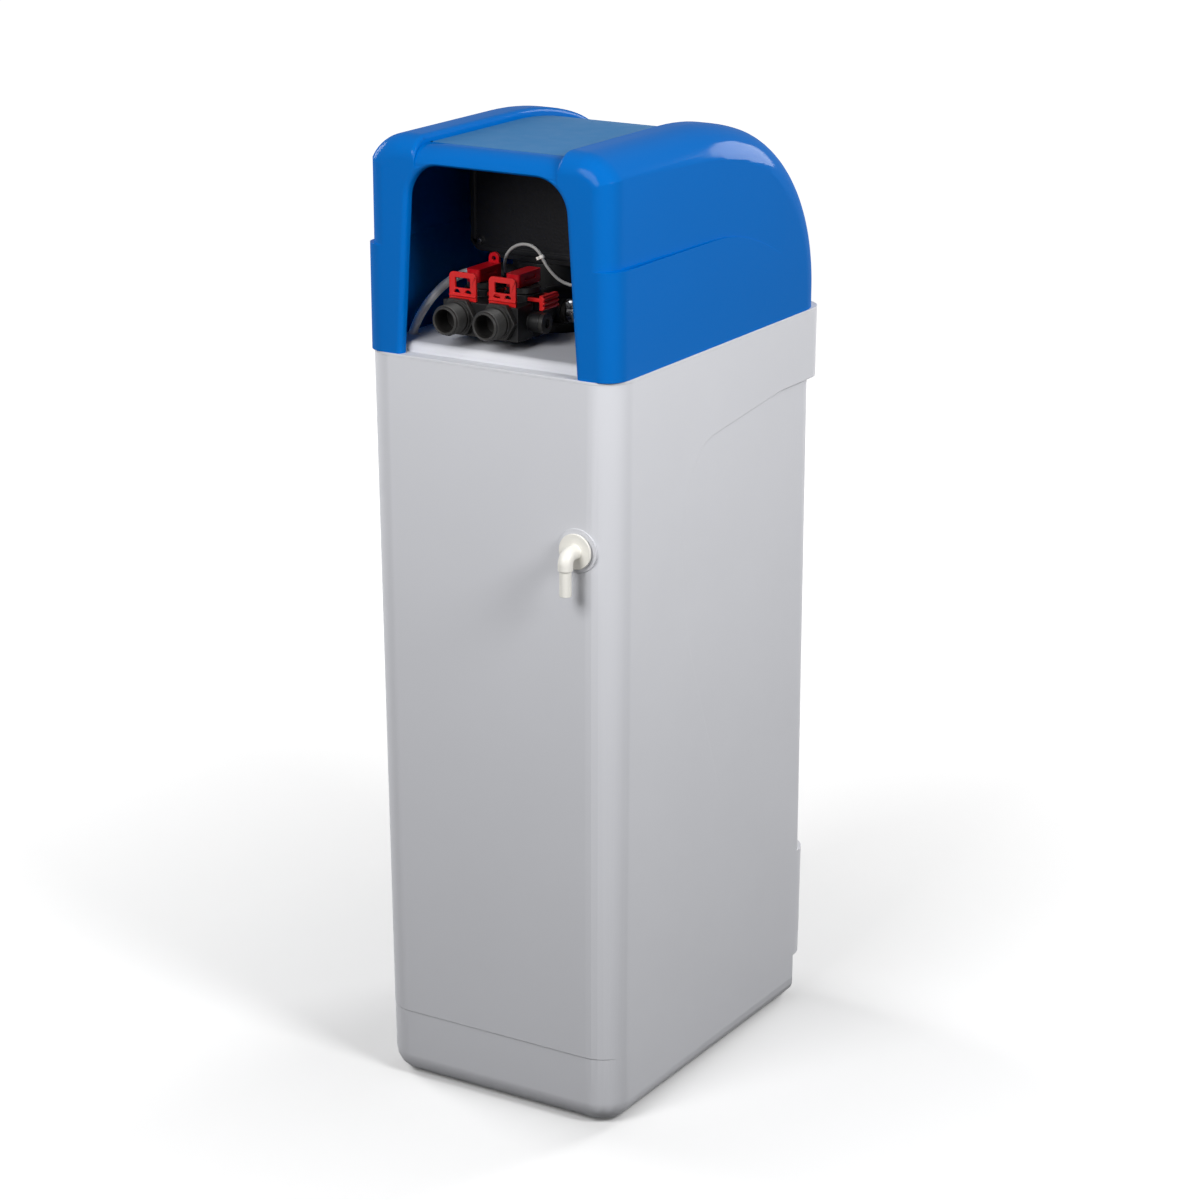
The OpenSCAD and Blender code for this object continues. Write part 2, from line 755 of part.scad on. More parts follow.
module salt_lid() {
    stub_len = hood_wall - seat_gap;
    color(lid_blue) {
        along_crest(hinge_y, cab_h + lid_end)
            translate([-lid_half_w, -groove_depth - lid_t]) square([2 * lid_half_w, lid_t]);
        translate([0, hinge_y, hinge_z]) across(2 * lid_half_w) intersection() {
            circle(lid_t / 2);
            translate([0, -lid_t / 2]) square([lid_t / 2, lid_t]);
        }
        for (s = [-1, 1])
            rod_x(s > 0 ? lid_half_w : -lid_half_w - lid_gap - stub_len, hinge_y, hinge_z,
                  lid_gap + stub_len, stub_r);
        translate([-lip_w / 2, -hood_half_d + groove_depth - lip_out, cab_h + lid_end])
            cube([lip_w, lip_out + lid_t / 2, lip_h]);
    }
}

// Resin tank

// The tank's outline as (radius, height), drawn in by i
function tank_outline(i) = concat(
    [[0, tank_z + i]],
    [for (a = [75:-15:0]) [(tank_r - i) * cos(a), tank_z + dome_h - (dome_h - i) * sin(a)]],
    [for (a = [0:15:75]) [(tank_r - i) * cos(a), tank_top - dome_h + (dome_h - i) * sin(a)]],
    [[0, tank_top - i]]);

module at_valve() {
    translate([valve_x, valve_y, 0]) children();
}

module resin_tank() {
    neck_wall = 6;
    color([0.25, 0.33, 0.42]) at_valve() difference() {
        union() {
            rotate_extrude() polygon(tank_outline(0));
            translate([0, 0, tank_top - dome_h / 4])
                cylinder(h = neck_top - tank_top + dome_h / 4, r = neck_r);
        }
        rotate_extrude() polygon(tank_outline(tank_wall));
        translate([0, 0, tank_top - dome_h / 2])
            cylinder(h = neck_top - tank_top + dome_h, r = neck_r - neck_wall);
    }
}

foot_h = 62;
foot_lip = 3;
module tank_foot() {
    color(black) at_valve() difference() {
        translate([0, 0, cab_wall]) cylinder(h = foot_h, r1 = tank_r - foot_taper, r2 = tank_r + foot_lip);
        rotate_extrude() polygon(tank_outline(0));
        translate([0, 0, cab_wall - 1]) cylinder(h = foot_h, r = tank_r * 0.55);
    }
}

riser_low = tank_z + tank_wall + 50;
module riser_tube() {
    color(white) at_valve() translate([0, 0, riser_low]) difference() {
        cylinder(h = body_z + 6 - riser_low, r = riser_r);
        translate([0, 0, -1]) cylinder(h = body_z + 20 - riser_low, r = riser_r - 2.2);
    }
}

// Slots round a basket's wall
module basket_slots(r, z, h, count) {
    slot_w = 2;
    for (k = [0:count - 1]) rotate(360 * k / count) translate([r - 4, -slot_w / 2, z]) cube([8, slot_w, h]);
}

module bottom_basket() {
    basket_r = 24;
    basket_h = 48;
    wall = 2.4;
    low = riser_low - 40;
    color(white) at_valve() difference() {
        translate([0, 0, low]) cylinder(h = basket_h, r = basket_r);
        translate([0, 0, low + wall]) cylinder(h = basket_h - 3 * wall, r = basket_r - wall);
        translate([0, 0, low + basket_h - 4 * wall]) cylinder(h = 5 * wall, r = riser_r + 0.1);
        basket_slots(basket_r, low + 8, basket_h - 20, 12);
    }
}

module top_basket() {
    basket_r = neck_r - 8;
    wall = 2.4;
    basket_h = 34;
    low = shoulder_z - basket_h;
    color(white) at_valve() difference() {
        translate([0, 0, low]) cylinder(h = basket_h, r = basket_r);
        translate([0, 0, low + wall]) cylinder(h = basket_h, r = basket_r - wall);
        translate([0, 0, low - 1]) cylinder(h = basket_h, r = riser_r + 0.1);
        basket_slots(basket_r, low + 6, basket_h - 16, 12);
    }
}

module neck_seal() {
    color(rubber) at_valve() translate([0, 0, neck_top + seal_cord_r]) rotate_extrude()
        translate([neck_r - 3, 0]) circle(seal_cord_r);
}

// Brine well

module at_well() {
    translate([well_x, well_y, 0]) children();
}

well_wall = 2.4;
well_slot_pitch = 30;
well_slot_h = 18;

module brine_well() {
    color(white) at_well() difference() {
        translate([0, 0, cab_wall]) cylinder(h = well_top - cab_wall, r = well_r);
        translate([0, 0, cab_wall + well_wall]) cylinder(h = well_top, r = well_r - well_wall);
        for (k = [1:3]) translate([0, 0, k * well_slot_pitch]) basket_slots(well_r, 0, well_slot_h, 8);
    }
}

module well_cap() {
    cap_t = 3;
    skirt = 10;
    socket_h = 8;
    color(white) at_well() difference() {
        union() {
            translate([0, 0, well_top - skirt]) cylinder(h = skirt + cap_t, r = well_r + 2.5);
            translate([0, 0, well_top]) cylinder(h = cap_t + socket_h, r = tube_r + 4);
        }
        translate([0, 0, well_top - skirt - 1]) cylinder(h = skirt + 1, r = well_r + 0.1);
        translate([0, 0, well_top - 1]) cylinder(h = cap_t + socket_h + 2, r = tube_r + 0.1);
    }
}

pickup_rise = 24;
pickup_low = cab_wall + pickup_rise;
brine_valve_h = 120;
float_drop = 230;
float_stop_t = 8;
intake_h = 30;
valve_low = well_top - brine_valve_h;
float_z = valve_low - float_drop;

module pickup_tube() {
    stop_r = pickup_r + 5;
    color(white) at_well() difference() {
        union() {
            translate([0, 0, pickup_low]) cylinder(h = valve_low - pickup_low, r = pickup_r);
            translate([0, 0, float_z - float_stop_t]) cylinder(h = float_stop_t, r = stop_r);
            translate([0, 0, pickup_low]) cylinder(h = intake_h, r = stop_r);
        }
        translate([0, 0, pickup_low - 1]) cylinder(h = valve_low, r = pickup_r - 1.8);
    }
}

rod_offset = 17;
rod_r = 1.6;
rod_reach = 40;
guide_h = 60;
brine_valve_r = 15;
arm_w = 10;
arm_h = 8;
arm_rise = 20;
arm_end = 6;

module brine_valve() {
    color(white) at_well() difference() {
        union() {
            translate([0, 0, valve_low]) cylinder(h = well_top - valve_low, r = brine_valve_r);
            translate([0, -arm_w / 2, valve_low + arm_rise]) cube([rod_offset + arm_end, arm_w, arm_h]);
        }
        translate([0, 0, valve_low - 1]) cylinder(h = well_top - valve_low + 2, r = pickup_r - 1.8);
        translate([rod_offset, 0, valve_low]) cylinder(h = guide_h, r = rod_r + fit);
    }
}

module float_rod() {
    color(steel) at_well() translate([rod_offset, 0, float_z + float_h / 2])
        cylinder(h = valve_low + rod_reach - float_z - float_h / 2, r = rod_r);
}

module brine_float() {
    color(white) at_well() difference() {
        translate([0, 0, float_z]) cylinder(h = float_h, r = float_r);
        translate([0, 0, float_z - 1]) cylinder(h = float_h + 2, r = pickup_r + seat_gap);
        translate([rod_offset, 0, float_z + float_h / 2]) cylinder(h = float_h, r = rod_r);
    }
}

// Overflow

grommet_lip = 1.6;
elbow_seat_y = pad_outer_y + grommet_lip;
leg_y = elbow_seat_y + overflow_reach;

module overflow_grommet() {
    lip_r = grommet_neck_r + 2.5;
    wall = pad_outer_y - pad_inner_y;
    color(rubber) difference() {
        union() {
            rod_y(overflow_x, pad_inner_y, overflow_z, wall, grommet_neck_r);
            rod_y(overflow_x, pad_outer_y, overflow_z, grommet_lip, lip_r);
            rod_y(overflow_x, pad_inner_y - grommet_lip, overflow_z, grommet_lip, lip_r);
        }
        rod_y(overflow_x, pad_inner_y - 5, overflow_z, wall + 10, overflow_r + fit);
    }
}

// The elbow's run: straight out of the wall, a quarter bend, then straight down
module elbow_run(y0, r) {
    bend_r = 10;
    rod_y(overflow_x, y0, overflow_z, leg_y - bend_r - y0, r);
    translate([overflow_x, leg_y - bend_r, overflow_z - bend_r]) {
        rotate([0, 90, 0]) rotate(90) rotate_extrude(angle = 90) translate([bend_r, 0]) circle(r);
        translate([0, bend_r, -6]) cylinder(h = 6, r = r);
    }
}

module overflow_elbow() {
    bore_r = barb_r - 2;
    spigot_end = pad_inner_y - 14;
    flange_t = 3;
    arm_r = barb_r + 1.6;
    flange_y = elbow_seat_y + seat_gap;
    color(white) difference() {
        union() {
            rod_y(overflow_x, spigot_end, overflow_z, flange_y - spigot_end, overflow_r);
            rod_y(overflow_x, flange_y, overflow_z, flange_t, overflow_flange_r);
            elbow_run(flange_y, arm_r);
            translate([overflow_x, leg_y, overflow_z - overflow_leg])
                cylinder(h = overflow_leg - 12, r = barb_r);
        }
        rod_y(overflow_x, spigot_end - 1, overflow_z, flange_y - spigot_end + 1, bore_r);
        elbow_run(flange_y, bore_r);
        translate([overflow_x, leg_y, overflow_z - overflow_leg - 1])
            cylinder(h = overflow_leg - 11, r = bore_r);
    }
}

// Control valve

drain_port_y = valve_y + 50;
drain_port_z = port_z - 6;
drain_port_x = valve_x - side_port_reach;
side_boss_r = 11;
body_r = 46;
port_boss_r = 18;
transfer_r = 6;
centre_way_r = 8;
drain_way_r = 5;
drain_spigot_r = 6.9;
drain_socket = 8;
upflow_y = -22;

module valve_body() {
    neck_bore_r = neck_r + 0.1;
    color(black) difference() {
        union() {
            at_valve() translate([0, 0, collar_z]) cylinder(h = body_z - collar_z + 4, r = collar_r);
            at_valve() for (k = [0:11]) rotate(30 * k) translate([collar_r - 2, -4, collar_z])
                cube([5, 8, body_z - collar_z]);
            at_valve() translate([0, 0, body_z]) cylinder(h = bonnet_z - body_z, r = body_r);
            for (x = ports) {
                rod_y(x, valve_y, port_z, port_face_y - valve_y, port_boss_r);
                rod_y(x, valve_y, port_z, port_face_y + spigot_len - valve_y, port_r - 0.1);
            }
            translate([valve_x - port_pitch / 2, valve_y, port_z - port_web / 2])
                cube([port_pitch, port_face_y - valve_y, port_web]);
            rod_x(valve_x, brine_port_y, brine_port_z, brine_port_x - valve_x, side_boss_r);
            rod_x(drain_port_x, drain_port_y, drain_port_z, valve_x - drain_port_x, side_boss_r + 3);
        }
        at_valve() {
            translate([0, 0, collar_z - 1]) cylinder(h = shoulder_z - collar_z + 1, r = neck_bore_r);
            translate([0, 0, neck_top]) cylinder(h = body_z + 8 - neck_top, r = riser_r + 0.1);
            translate([0, 0, body_z]) cylinder(h = chamber_floor - body_z + 1, r = centre_way_r);
            translate([0, upflow_y, neck_top]) cylinder(h = chamber_floor - neck_top + 1, r = transfer_r);
            translate([0, 0, chamber_floor]) cylinder(h = bonnet_z, r = chamber_r);
        }
        for (x = ports) {
            rod_y(x, valve_y + 4, port_z, bypass_reach, flow_r);
            translate([valve_x + (x - valve_x) * 0.8, valve_y + 2 * transfer_r, port_z])
                cylinder(h = chamber_floor - port_z + 1, r = transfer_r);
        }
        rod_x(valve_x + chamber_r + 4, brine_port_y, brine_port_z, body_r, drain_way_r);
        rod_x(drain_port_x - 1, drain_port_y, drain_port_z, drain_socket + 1, drain_spigot_r + seat_gap / 3);
    }
}

module valve_bonnet() {
    plug_h = 8;
    color(black) difference() {
        union() {
            translate([valve_x, head_rear_y - bonnet_d / 2, bonnet_z]) linear_extrude(bonnet_t)
                rounded_rect(bonnet_w, bonnet_d, 10);
            at_valve() translate([0, 0, bonnet_z - plug_h]) cylinder(h = plug_h, r = chamber_r - 0.1);
        }
        at_valve() translate([0, 0, bonnet_z - plug_h - 1])
            cylinder(h = plug_h + bonnet_t + 2, r = shaft_r + fit);
    }
}

disc_h = 6;
module seat_disc() {
    color(ceramic) at_valve() translate([0, 0, chamber_floor]) difference() {
        cylinder(h = disc_h, r = chamber_r - 0.1);
        for (p = [[0, 0, centre_way_r - 1], [port_pitch * 0.4, 2 * transfer_r, transfer_r - 1],
                  [-port_pitch * 0.4, 2 * transfer_r, transfer_r - 1], [0, upflow_y, transfer_r - 1]])
            translate([p[0], p[1], -1]) cylinder(h = disc_h + 2, r = p[2]);
    }
}

module port_disc() {
    color(ceramic) at_valve() translate([0, 0, chamber_floor + disc_h]) difference() {
        cylinder(h = disc_h, r = chamber_r - 3);
        translate([0, 20, -1]) cylinder(h = disc_h / 2, r = transfer_r);
        translate([-5, -5, disc_h - 2.5]) cube([10, 10, 3]);
    }
}

module drive_shaft() {
    low = chamber_floor + 2 * disc_h - 2.4;
    color(white) at_valve() {
        translate([-4.9, -4.9, low]) cube([9.8, 9.8, 4]);
        translate([0, 0, low + 4]) cylinder(h = gear_z + gear_t - low - 4, r = shaft_r);
        translate([0, 0, gear_z + gear_t]) cylinder(h = bracket_z + bracket_t - gear_z - gear_t, r = 4);
    }
}

module drive_gear() {
    color(white) at_valve() translate([0, 0, gear_z]) difference() {
        linear_extrude(gear_t) gear_outline(gear_teeth, gear_module);
        translate([0, 0, -1]) cylinder(h = gear_t + 2, r = shaft_r + fit);
        for (k = [0:4]) rotate(72 * k) translate([gear_r * 0.6, 0, -1])
            cylinder(h = gear_t + 2, r = gear_r * 0.2);
    }
}

module motor_pinion() {
    color(white) translate([motor_x, valve_y, gear_z]) difference() {
        rotate(180 + 180 / pinion_teeth) linear_extrude(gear_t)
            gear_outline(pinion_teeth, gear_module);
        translate([0, 0, -1]) cylinder(h = gear_t + 2, r = 2 + fit);
    }
}

bracket_post_r = 3.5;
module drive_bracket() {
    margin = 6;
    post_x = gear_r + 2 * gear_module + bracket_post_r;
    low_x = valve_x - post_x - margin;
    high_x = motor_x + motor_r + margin + 1;
    deep = 46;
    color(dark) difference() {
        union() {
            translate([low_x, valve_y - deep / 2, bracket_z]) cube([high_x - low_x, deep, bracket_t]);
            for (x = [low_x + margin, high_x - margin], y = [margin - deep / 2, deep / 2 - margin])
                translate([x, valve_y + y, head_z]) cylinder(h = bracket_z - head_z, r = bracket_post_r);
        }
        translate([valve_x, valve_y, bracket_z - 1]) cylinder(h = bracket_t + 2, r = 4 + fit);
        translate([motor_x, valve_y, bracket_z - 1]) cylinder(h = bracket_t + 2, r = 5);
    }
}

module drive_motor() {
    color(steel) {
        translate([motor_x, valve_y, bracket_z + bracket_t]) cylinder(h = motor_h, r = motor_r);
        translate([motor_x, valve_y, bracket_z + bracket_t + motor_h]) cylinder(h = 5, r = 6);
        translate([motor_x, valve_y, gear_z - 2]) cylinder(h = bracket_z + bracket_t - gear_z + 2, r = 2);
    }
}

// Control head

// Rear view of the head, with round corners
module head_view(back) {
    translate([valve_x, head_z + head_h / 2])
        rounded_rect(head_w - 2 * back, head_h - 2 * back, panel_r - back);
}

screw_spots = [for (x = [-1, 1], z = [0.1, 0.9]) [valve_x + x * (head_w / 2 - 12), head_z + z * head_h]];
screw_r = 2;

module head_back_panel() {
    rim = 6;
    pan = 1.5;
    color(black) difference() {
        union() {
            difference() {
                towards_front(head_rear_y, panel_t) head_view(0);
                towards_front(head_rear_y + 1, pan + 1) head_view(rim);
            }
            for (p = screw_spots) rod_y(p[0], head_rear_y - panel_t, p[1], panel_t, 5.5);
        }
        for (p = screw_spots) rod_y(p[0], head_rear_y - panel_t - 1, p[1], panel_t + 2, screw_r + 0.2);
        rod_y(panel_end[0], panel_end[1] - 1, panel_end[2], panel_t + 2, cable_r);
    }
}

module panel_screws() {
    color(steel) for (p = screw_spots) {
        rod_y(p[0], head_rear_y, p[1], 2, 3.6);
        rod_y(p[0], head_rear_y - panel_t - 8, p[1], panel_t + 8, screw_r);
    }
}

lens_w = 84;
lens_h = 36;
keys_x = [for (k = [0:3]) valve_x + (k - 1.5) * key_pitch];
key_play = 0.35;

module head_cover() {
    depth = head_d - panel_t;
    color(dark) difference() {
        union() {
            difference() {
                towards_front(head_rear_y - panel_t, depth) head_view(0);
                towards_front(head_rear_y - panel_t + 1, depth - head_wall + 1) head_view(head_wall);
                translate([valve_x - bonnet_w / 2 + 8, head_rear_y - bonnet_d + 8, head_z - 1])
                    cube([bonnet_w - 16, bonnet_d - 16, head_wall + 2]);
            }
            for (p = screw_spots) rod_y(p[0], head_front_y + 1, p[1], depth - 1, 5.5);
        }
        for (p = screw_spots) rod_y(p[0], head_rear_y - panel_t - 12, p[1], 13, screw_r + 0.02);
        for (x = keys_x) translate([x - key_w / 2 - key_play, head_front_y - 1, key_z - key_h / 2 - key_play])
            cube([key_w + 2 * key_play, head_wall + 2, key_h + 2 * key_play]);
        translate([valve_x - lens_w / 2, head_front_y - 1, window_z - lens_h / 2])
            cube([lens_w, head_wall + 2, lens_h]);
    }
}

module circuit_board() {
    board_t = 1.6;
    post_r = 3;
    board_w = head_w - 50;
    color([0.05, 0.3, 0.15]) {
        translate([valve_x - board_w / 2, pcb_y, head_z + 12]) cube([board_w, board_t, head_h - 24]);
        for (x = [-1, 1], z = [0.2, 0.8])
            rod_y(valve_x + x * (board_w / 2 - 6), head_front_y + head_wall, head_z + z * head_h,
                  pcb_y - head_front_y - head_wall, post_r);
    }
}

module display_window() {
    color([0.1, 0.14, 0.16]) translate([valve_x, head_front_y, window_z]) {
        translate([-lens_w / 2, 0, -lens_h / 2]) cube([lens_w, head_wall, lens_h]);
        translate([-lens_w / 2 - 3, head_wall, -lens_h / 2 - 3]) cube([lens_w + 6, 1.2, lens_h + 6]);
    }
}

// A key: a cap that stands out of the cover, and a flange behind it
module key_at(k) {
    pressed_out = 0.8;
    out = key_stroke + pressed_out;
    flange = 1.4;
    color([0.75, 0.75, 0.76]) translate([keys_x[k], head_front_y, key_z]) {
        translate([-key_w / 2, -out, -key_h / 2]) cube([key_w, out + head_wall + seat_gap, key_h]);
        translate([-key_w / 2 - flange, head_wall + seat_gap, -key_h / 2 - flange])
            cube([key_w + 2 * flange, flange, key_h + 2 * flange]);
    }
}

module key_1() { key_at(0); }
module key_2() { key_at(1); }
module key_3() { key_at(2); }
module key_4() { key_at(3); }

// Bypass

plug_y = rotor_y + 18;
plug_z = port_z - 3;
plug_out = 14;
plug_r = 7;
plug_boss_r = 11;
slot_play = 0.25;
fork_arms_y = [rotor_y - neck_groove_r - fork_arm, rotor_y + neck_groove_r];

module clip_slot(x) {
    leg_w = 7;
    for (s = [-1, 1]) translate([x + s * (clip_w / 2 - leg_w / 2) - leg_w / 2 - slot_play,
                                 clip_y - clip_t - slot_play, clip_low - slot_play])
        cube([leg_w + 2 * slot_play, clip_t + 2 * slot_play, block_top - clip_low + 4]);
    translate([x - clip_w / 2 - slot_play, clip_y - clip_t - slot_play, port_z + port_r + 0.6])
        cube([clip_w + 2 * slot_play, clip_t + 2 * slot_play, block_top]);
}

module bypass_body() {
    chamber_low = port_z - 19;
    color(black) difference() {
        union() {
            for (x = ports) {
                rod_y(x, port_face_y, port_z, block_front_y - port_face_y + 1, 19);
                translate([x, rotor_y, chamber_low - 3])
                    cylinder(h = collar_top - chamber_low + 3, r = barrel_r);
            }
            translate([valve_x - block_half_w, block_front_y, block_low])
                cube([2 * block_half_w, block_rear_y - block_front_y, block_top - block_low]);
            translate([valve_x - port_pitch / 2, rotor_y - 12, port_z - port_web / 2])
                cube([port_pitch, block_rear_y - rotor_y, port_web]);
            rod_x(valve_x - block_half_w - plug_out, plug_y, plug_z, plug_out + 30, plug_boss_r);
        }
        for (x = ports) {
            rod_y(x, port_face_y - 1, port_z, spigot_len + 1.2, port_r);
            rod_y(x, port_face_y, port_z, rotor_y - port_face_y + 30, flow_r);
            rod_y(x, block_rear_y - 22, port_z, 23, port_r);
            translate([x, rotor_y, chamber_low]) cylinder(h = 80, r = rotor_r + fit);
            clip_slot(x);
        }
        for (y = fork_arms_y) translate([valve_x - 80, y - slot_play, fork_z - slot_play])
            cube([160, fork_arm + 2 * slot_play, fork_t + 2 * slot_play]);
        rod_x(valve_x - block_half_w - plug_out - 1, plug_y, plug_z, plug_out + 5, plug_r);
    }
}

// A bypass rotor: ported plug, grooved neck and the disc under its handle
module rotor_at(x) {
    low = port_z - 19 + seat_gap;
    drive = 9;
    color(dark) difference() {
        union() {
            translate([x, rotor_y, low]) cylinder(h = fork_z - 0.6 - low, r = rotor_r);
            translate([x, rotor_y, low]) cylinder(h = disc_low - low, r = neck_groove_r - seat_gap);
            translate([x, rotor_y, disc_low]) cylinder(h = disc_t, r = rotor_r + 1);
            translate([x - drive / 2, rotor_y - drive / 2, disc_low]) cube([drive, drive, disc_t + 8]);
        }
        rod_y(x, rotor_y - rotor_r - 2, port_z, 2 * rotor_r + 4, flow_r);
    }
}

module inlet_rotor() { rotor_at(ports[0]); }
module outlet_rotor() { rotor_at(ports[1]); }

// A bypass handle: a tapered bar with round ends on the rotor's square drive
module handle_at(x) {
    drive = 9;
    end_r = handle_w / 2;
    skirt = 1.5;
    color(red) difference() {
        union() {
            translate([x, rotor_y, handle_z]) linear_extrude(handle_h) rounded_rect(handle_w, handle_len, 4);
            translate([x, rotor_y, disc_low + disc_t]) cylinder(h = skirt + 1, r = end_r);
            children();
        }
        translate([x - drive / 2, rotor_y - drive / 2, disc_low]) cube([drive, drive, disc_t + 8]);
        for (s = [-1, 1]) translate([x + s * handle_w / 2, rotor_y, handle_z + handle_h * 0.55])
            cube([2.4, handle_len * 0.5, 3], center = true);
    }
}

// The lock tab on the inlet handle's far end
module lock_tab(x) {
    tab_w = 13;
    tab_t = 4;
    tab_h = 11;
    top = handle_z + handle_h;
    y = rotor_y - handle_len / 2;
    difference() {
        union() {
            translate([x - tab_w / 2, y, top - 1]) cube([tab_w, tab_t, tab_h - tab_w / 2 + 1]);
            rod_y(x, y, top + tab_h - tab_w / 2, tab_t, tab_w / 2);
        }
        rod_y(x, y - 1, top + tab_h - tab_w / 2, tab_t + 2, 2.6);
    }
}

module inlet_handle() { handle_at(ports[0]) lock_tab(ports[0]); }
module outlet_handle() { handle_at(ports[1]); }

module rotor_fork() {
    grip_x = valve_x - block_half_w - 8;
    far_x = ports[0] + barrel_r + 2;
    grip_top = fork_z + fork_t + 3;
    grip_low = plug_z + plug_boss_r + 0.6;
    grip_h = grip_top - grip_low;
    rib_pitch = (grip_h - 1.6) / 3;
    color(red) {
        for (y = fork_arms_y) translate([grip_x, y, fork_z]) cube([far_x - grip_x, fork_arm, fork_t]);
        translate([grip_x - 4, rotor_y - neck_groove_r - fork_arm, grip_low])
            cube([5, 2 * (neck_groove_r + fork_arm), grip_h]);
        for (k = [0:2])
            translate([grip_x - 5.5, rotor_y - neck_groove_r - fork_arm, grip_low + 1.6 + rib_pitch * k])
                cube([3, 2 * (neck_groove_r + fork_arm), rib_pitch / 2]);
    }
}

// A pipe connector: plain spigot, clip groove, hexagon collar and male thread blank
module connector_at(x) {
    groove_r = port_r - 2;
    chamfer = 1.4;
    color(dark) difference() {
        union() {
            rod_y(x, block_rear_y - 20, port_z, 21, port_r - 0.1);
            translate([x, block_rear_y, port_z]) rotate([-90, 0, 0])
                cylinder(h = connector_collar_t, r = hex_r, $fn = 6);
            rod_y(x, block_rear_y + connector_collar_t - 1, port_z, connector_ring_t + 1, thread_r + 1.2);
            rod_y(x, connector_end_y - thread_len - 1, port_z, thread_len + 1 - chamfer, thread_r);
            translate([x, connector_end_y - chamfer, port_z]) rotate([-90, 0, 0])
                cylinder(h = chamfer, r1 = thread_r, r2 = thread_r - chamfer);
        }
        difference() {
            rod_y(x, clip_y - clip_t - slot_play, port_z, clip_t + 2 * slot_play, port_r + 1);
            rod_y(x, clip_y - clip_t - 1, port_z, clip_t + 2, groove_r);
        }
        rod_y(x, block_rear_y - 25, port_z, 80, min(pipe_bore_r, groove_r - 1.2));
        rod_y(x, block_rear_y + 1, port_z, 80, pipe_bore_r);
        seal_ring(x, block_rear_y - 16, 0.05);
    }
}

module seal_ring(x, y, grow) {
    cord_r = 1.3;
    translate([x, y, port_z]) rotate([-90, 0, 0]) rotate_extrude()
        translate([port_r - cord_r - 0.05, 0]) circle(cord_r + grow);
}

module inlet_connector() { connector_at(ports[0]); }
module outlet_connector() { connector_at(ports[1]); }

module connector_seals() {
    color(rubber) for (x = ports) seal_ring(x, block_rear_y - 16, 0);
}

// A connector clip: a plate with a window and half-moons, and two legs that grip the connector's groove
module clip_at(x) {
    leg_w = 7;
    plate_low = port_z + port_r + 1;
    corner = 5;
    window = [19, 11];
    moon_r = 4;
    web = 1.6;
    window_low = clip_top - 6 - window[1];
    moon_low = window_low - web - moon_r;
    rib_proud = 1;
    color(red) towards_front(clip_y + rib_proud, rib_proud + 1) translate([x - clip_w / 2, block_top + 4])
        square([clip_w, 1.8]);
    color(red) towards_front(clip_y, clip_t) translate([x, 0]) difference() {
        union() {
            translate([-clip_w / 2, plate_low]) square([clip_w, clip_top - corner - plate_low]);
            translate([corner - clip_w / 2, plate_low]) square([clip_w - 2 * corner, clip_top - plate_low]);
            for (s = [-1, 1]) {
                translate([s * (clip_w / 2 - corner), clip_top - corner]) circle(corner);
                translate([s * (clip_w / 2 - leg_w / 2) - leg_w / 2, clip_low])
                    square([leg_w, clip_top - corner - clip_low]);
            }
        }
        translate([0, port_z]) circle(port_r - 2 + 0.1);
        translate([-window[0] / 2, window_low]) square(window);
        for (s = [-1, 1]) translate([s * 7, moon_low]) intersection() {
            circle(moon_r);
            translate([-moon_r, 0]) square([2 * moon_r, moon_r]);
        }
    }
}

module inlet_clip() { clip_at(ports[0]); }
module outlet_clip() { clip_at(ports[1]); }

module bypass_plug() {
    head_x = valve_x - block_half_w - plug_out;
    color(dark) difference() {
        union() {
            rod_x(head_x - 5, plug_y, plug_z, 5, plug_boss_r);
            rod_x(head_x - 5, plug_y, plug_z, plug_out + 6, plug_r - 0.05);
        }
        translate([head_x - 6, plug_y, plug_z]) rotate([0, 90, 0]) cylinder(h = 4, r = 5.5, $fn = 6);
    }
}

// Flow meter

meter_y = port_face_y - 16;
meter_x = ports[0];
axle_r = 1.2;

module meter_cage() {
    ring_w = 2;
    ring_t = 3;
    hub_r = 3;
    color(white) {
        difference() {
            rod_y(meter_x, meter_y, port_z, ring_t, flow_r - 0.05);
            rod_y(meter_x, meter_y - 1, port_z, ring_t + 2, flow_r - ring_w);
        }
        for (k = [0:2]) translate([meter_x, meter_y, port_z]) rotate([0, 120 * k, 0]) translate([-1, 0, 0])
            cube([2, ring_t, flow_r - ring_w + 0.5]);
        rod_y(meter_x, meter_y, port_z, ring_t, hub_r);
        rod_y(meter_x, meter_y - 16, port_z, 17, axle_r);
    }
}

module meter_turbine() {
    hub_r = 3;
    blade_r = flow_r - 0.8;
    len = 11;
    color(white) difference() {
        union() {
            rod_y(meter_x, meter_y - len - 2, port_z, len, hub_r);
            for (k = [0:3]) translate([meter_x, meter_y - len - 2, port_z]) rotate([0, 90 * k, 0])
                translate([-0.6, 1, 0]) cube([1.2, len - 2, blade_r]);
        }
        rod_y(meter_x, meter_y - len - 4, port_z, len + 4, axle_r + fit);
    }
}

module meter_sensor() {
    base = port_z + port_web / 2;
    boot = 10;
    color(black) difference() {
        union() {
            translate([sensor_top[0] - 9, sensor_top[1] - 8, base])
                cube([18, 16, sensor_top[2] - base - boot + 2]);
            translate(sensor_top - [0, 0, boot]) cylinder(h = boot, r1 = cable_r + 3, r2 = cable_r + 1.4);
        }
        rod_y(sensor_top[0], sensor_top[1] - 9, port_z, 18, port_boss_r + fit);
        translate(sensor_top - [0, 0, cable_seat]) cylinder(h = cable_seat + 2, r = cable_r);
    }
}

module meter_cable() {
    color([0.55, 0.55, 0.55]) swept_tube(cable_route, cable_r, 8);
}

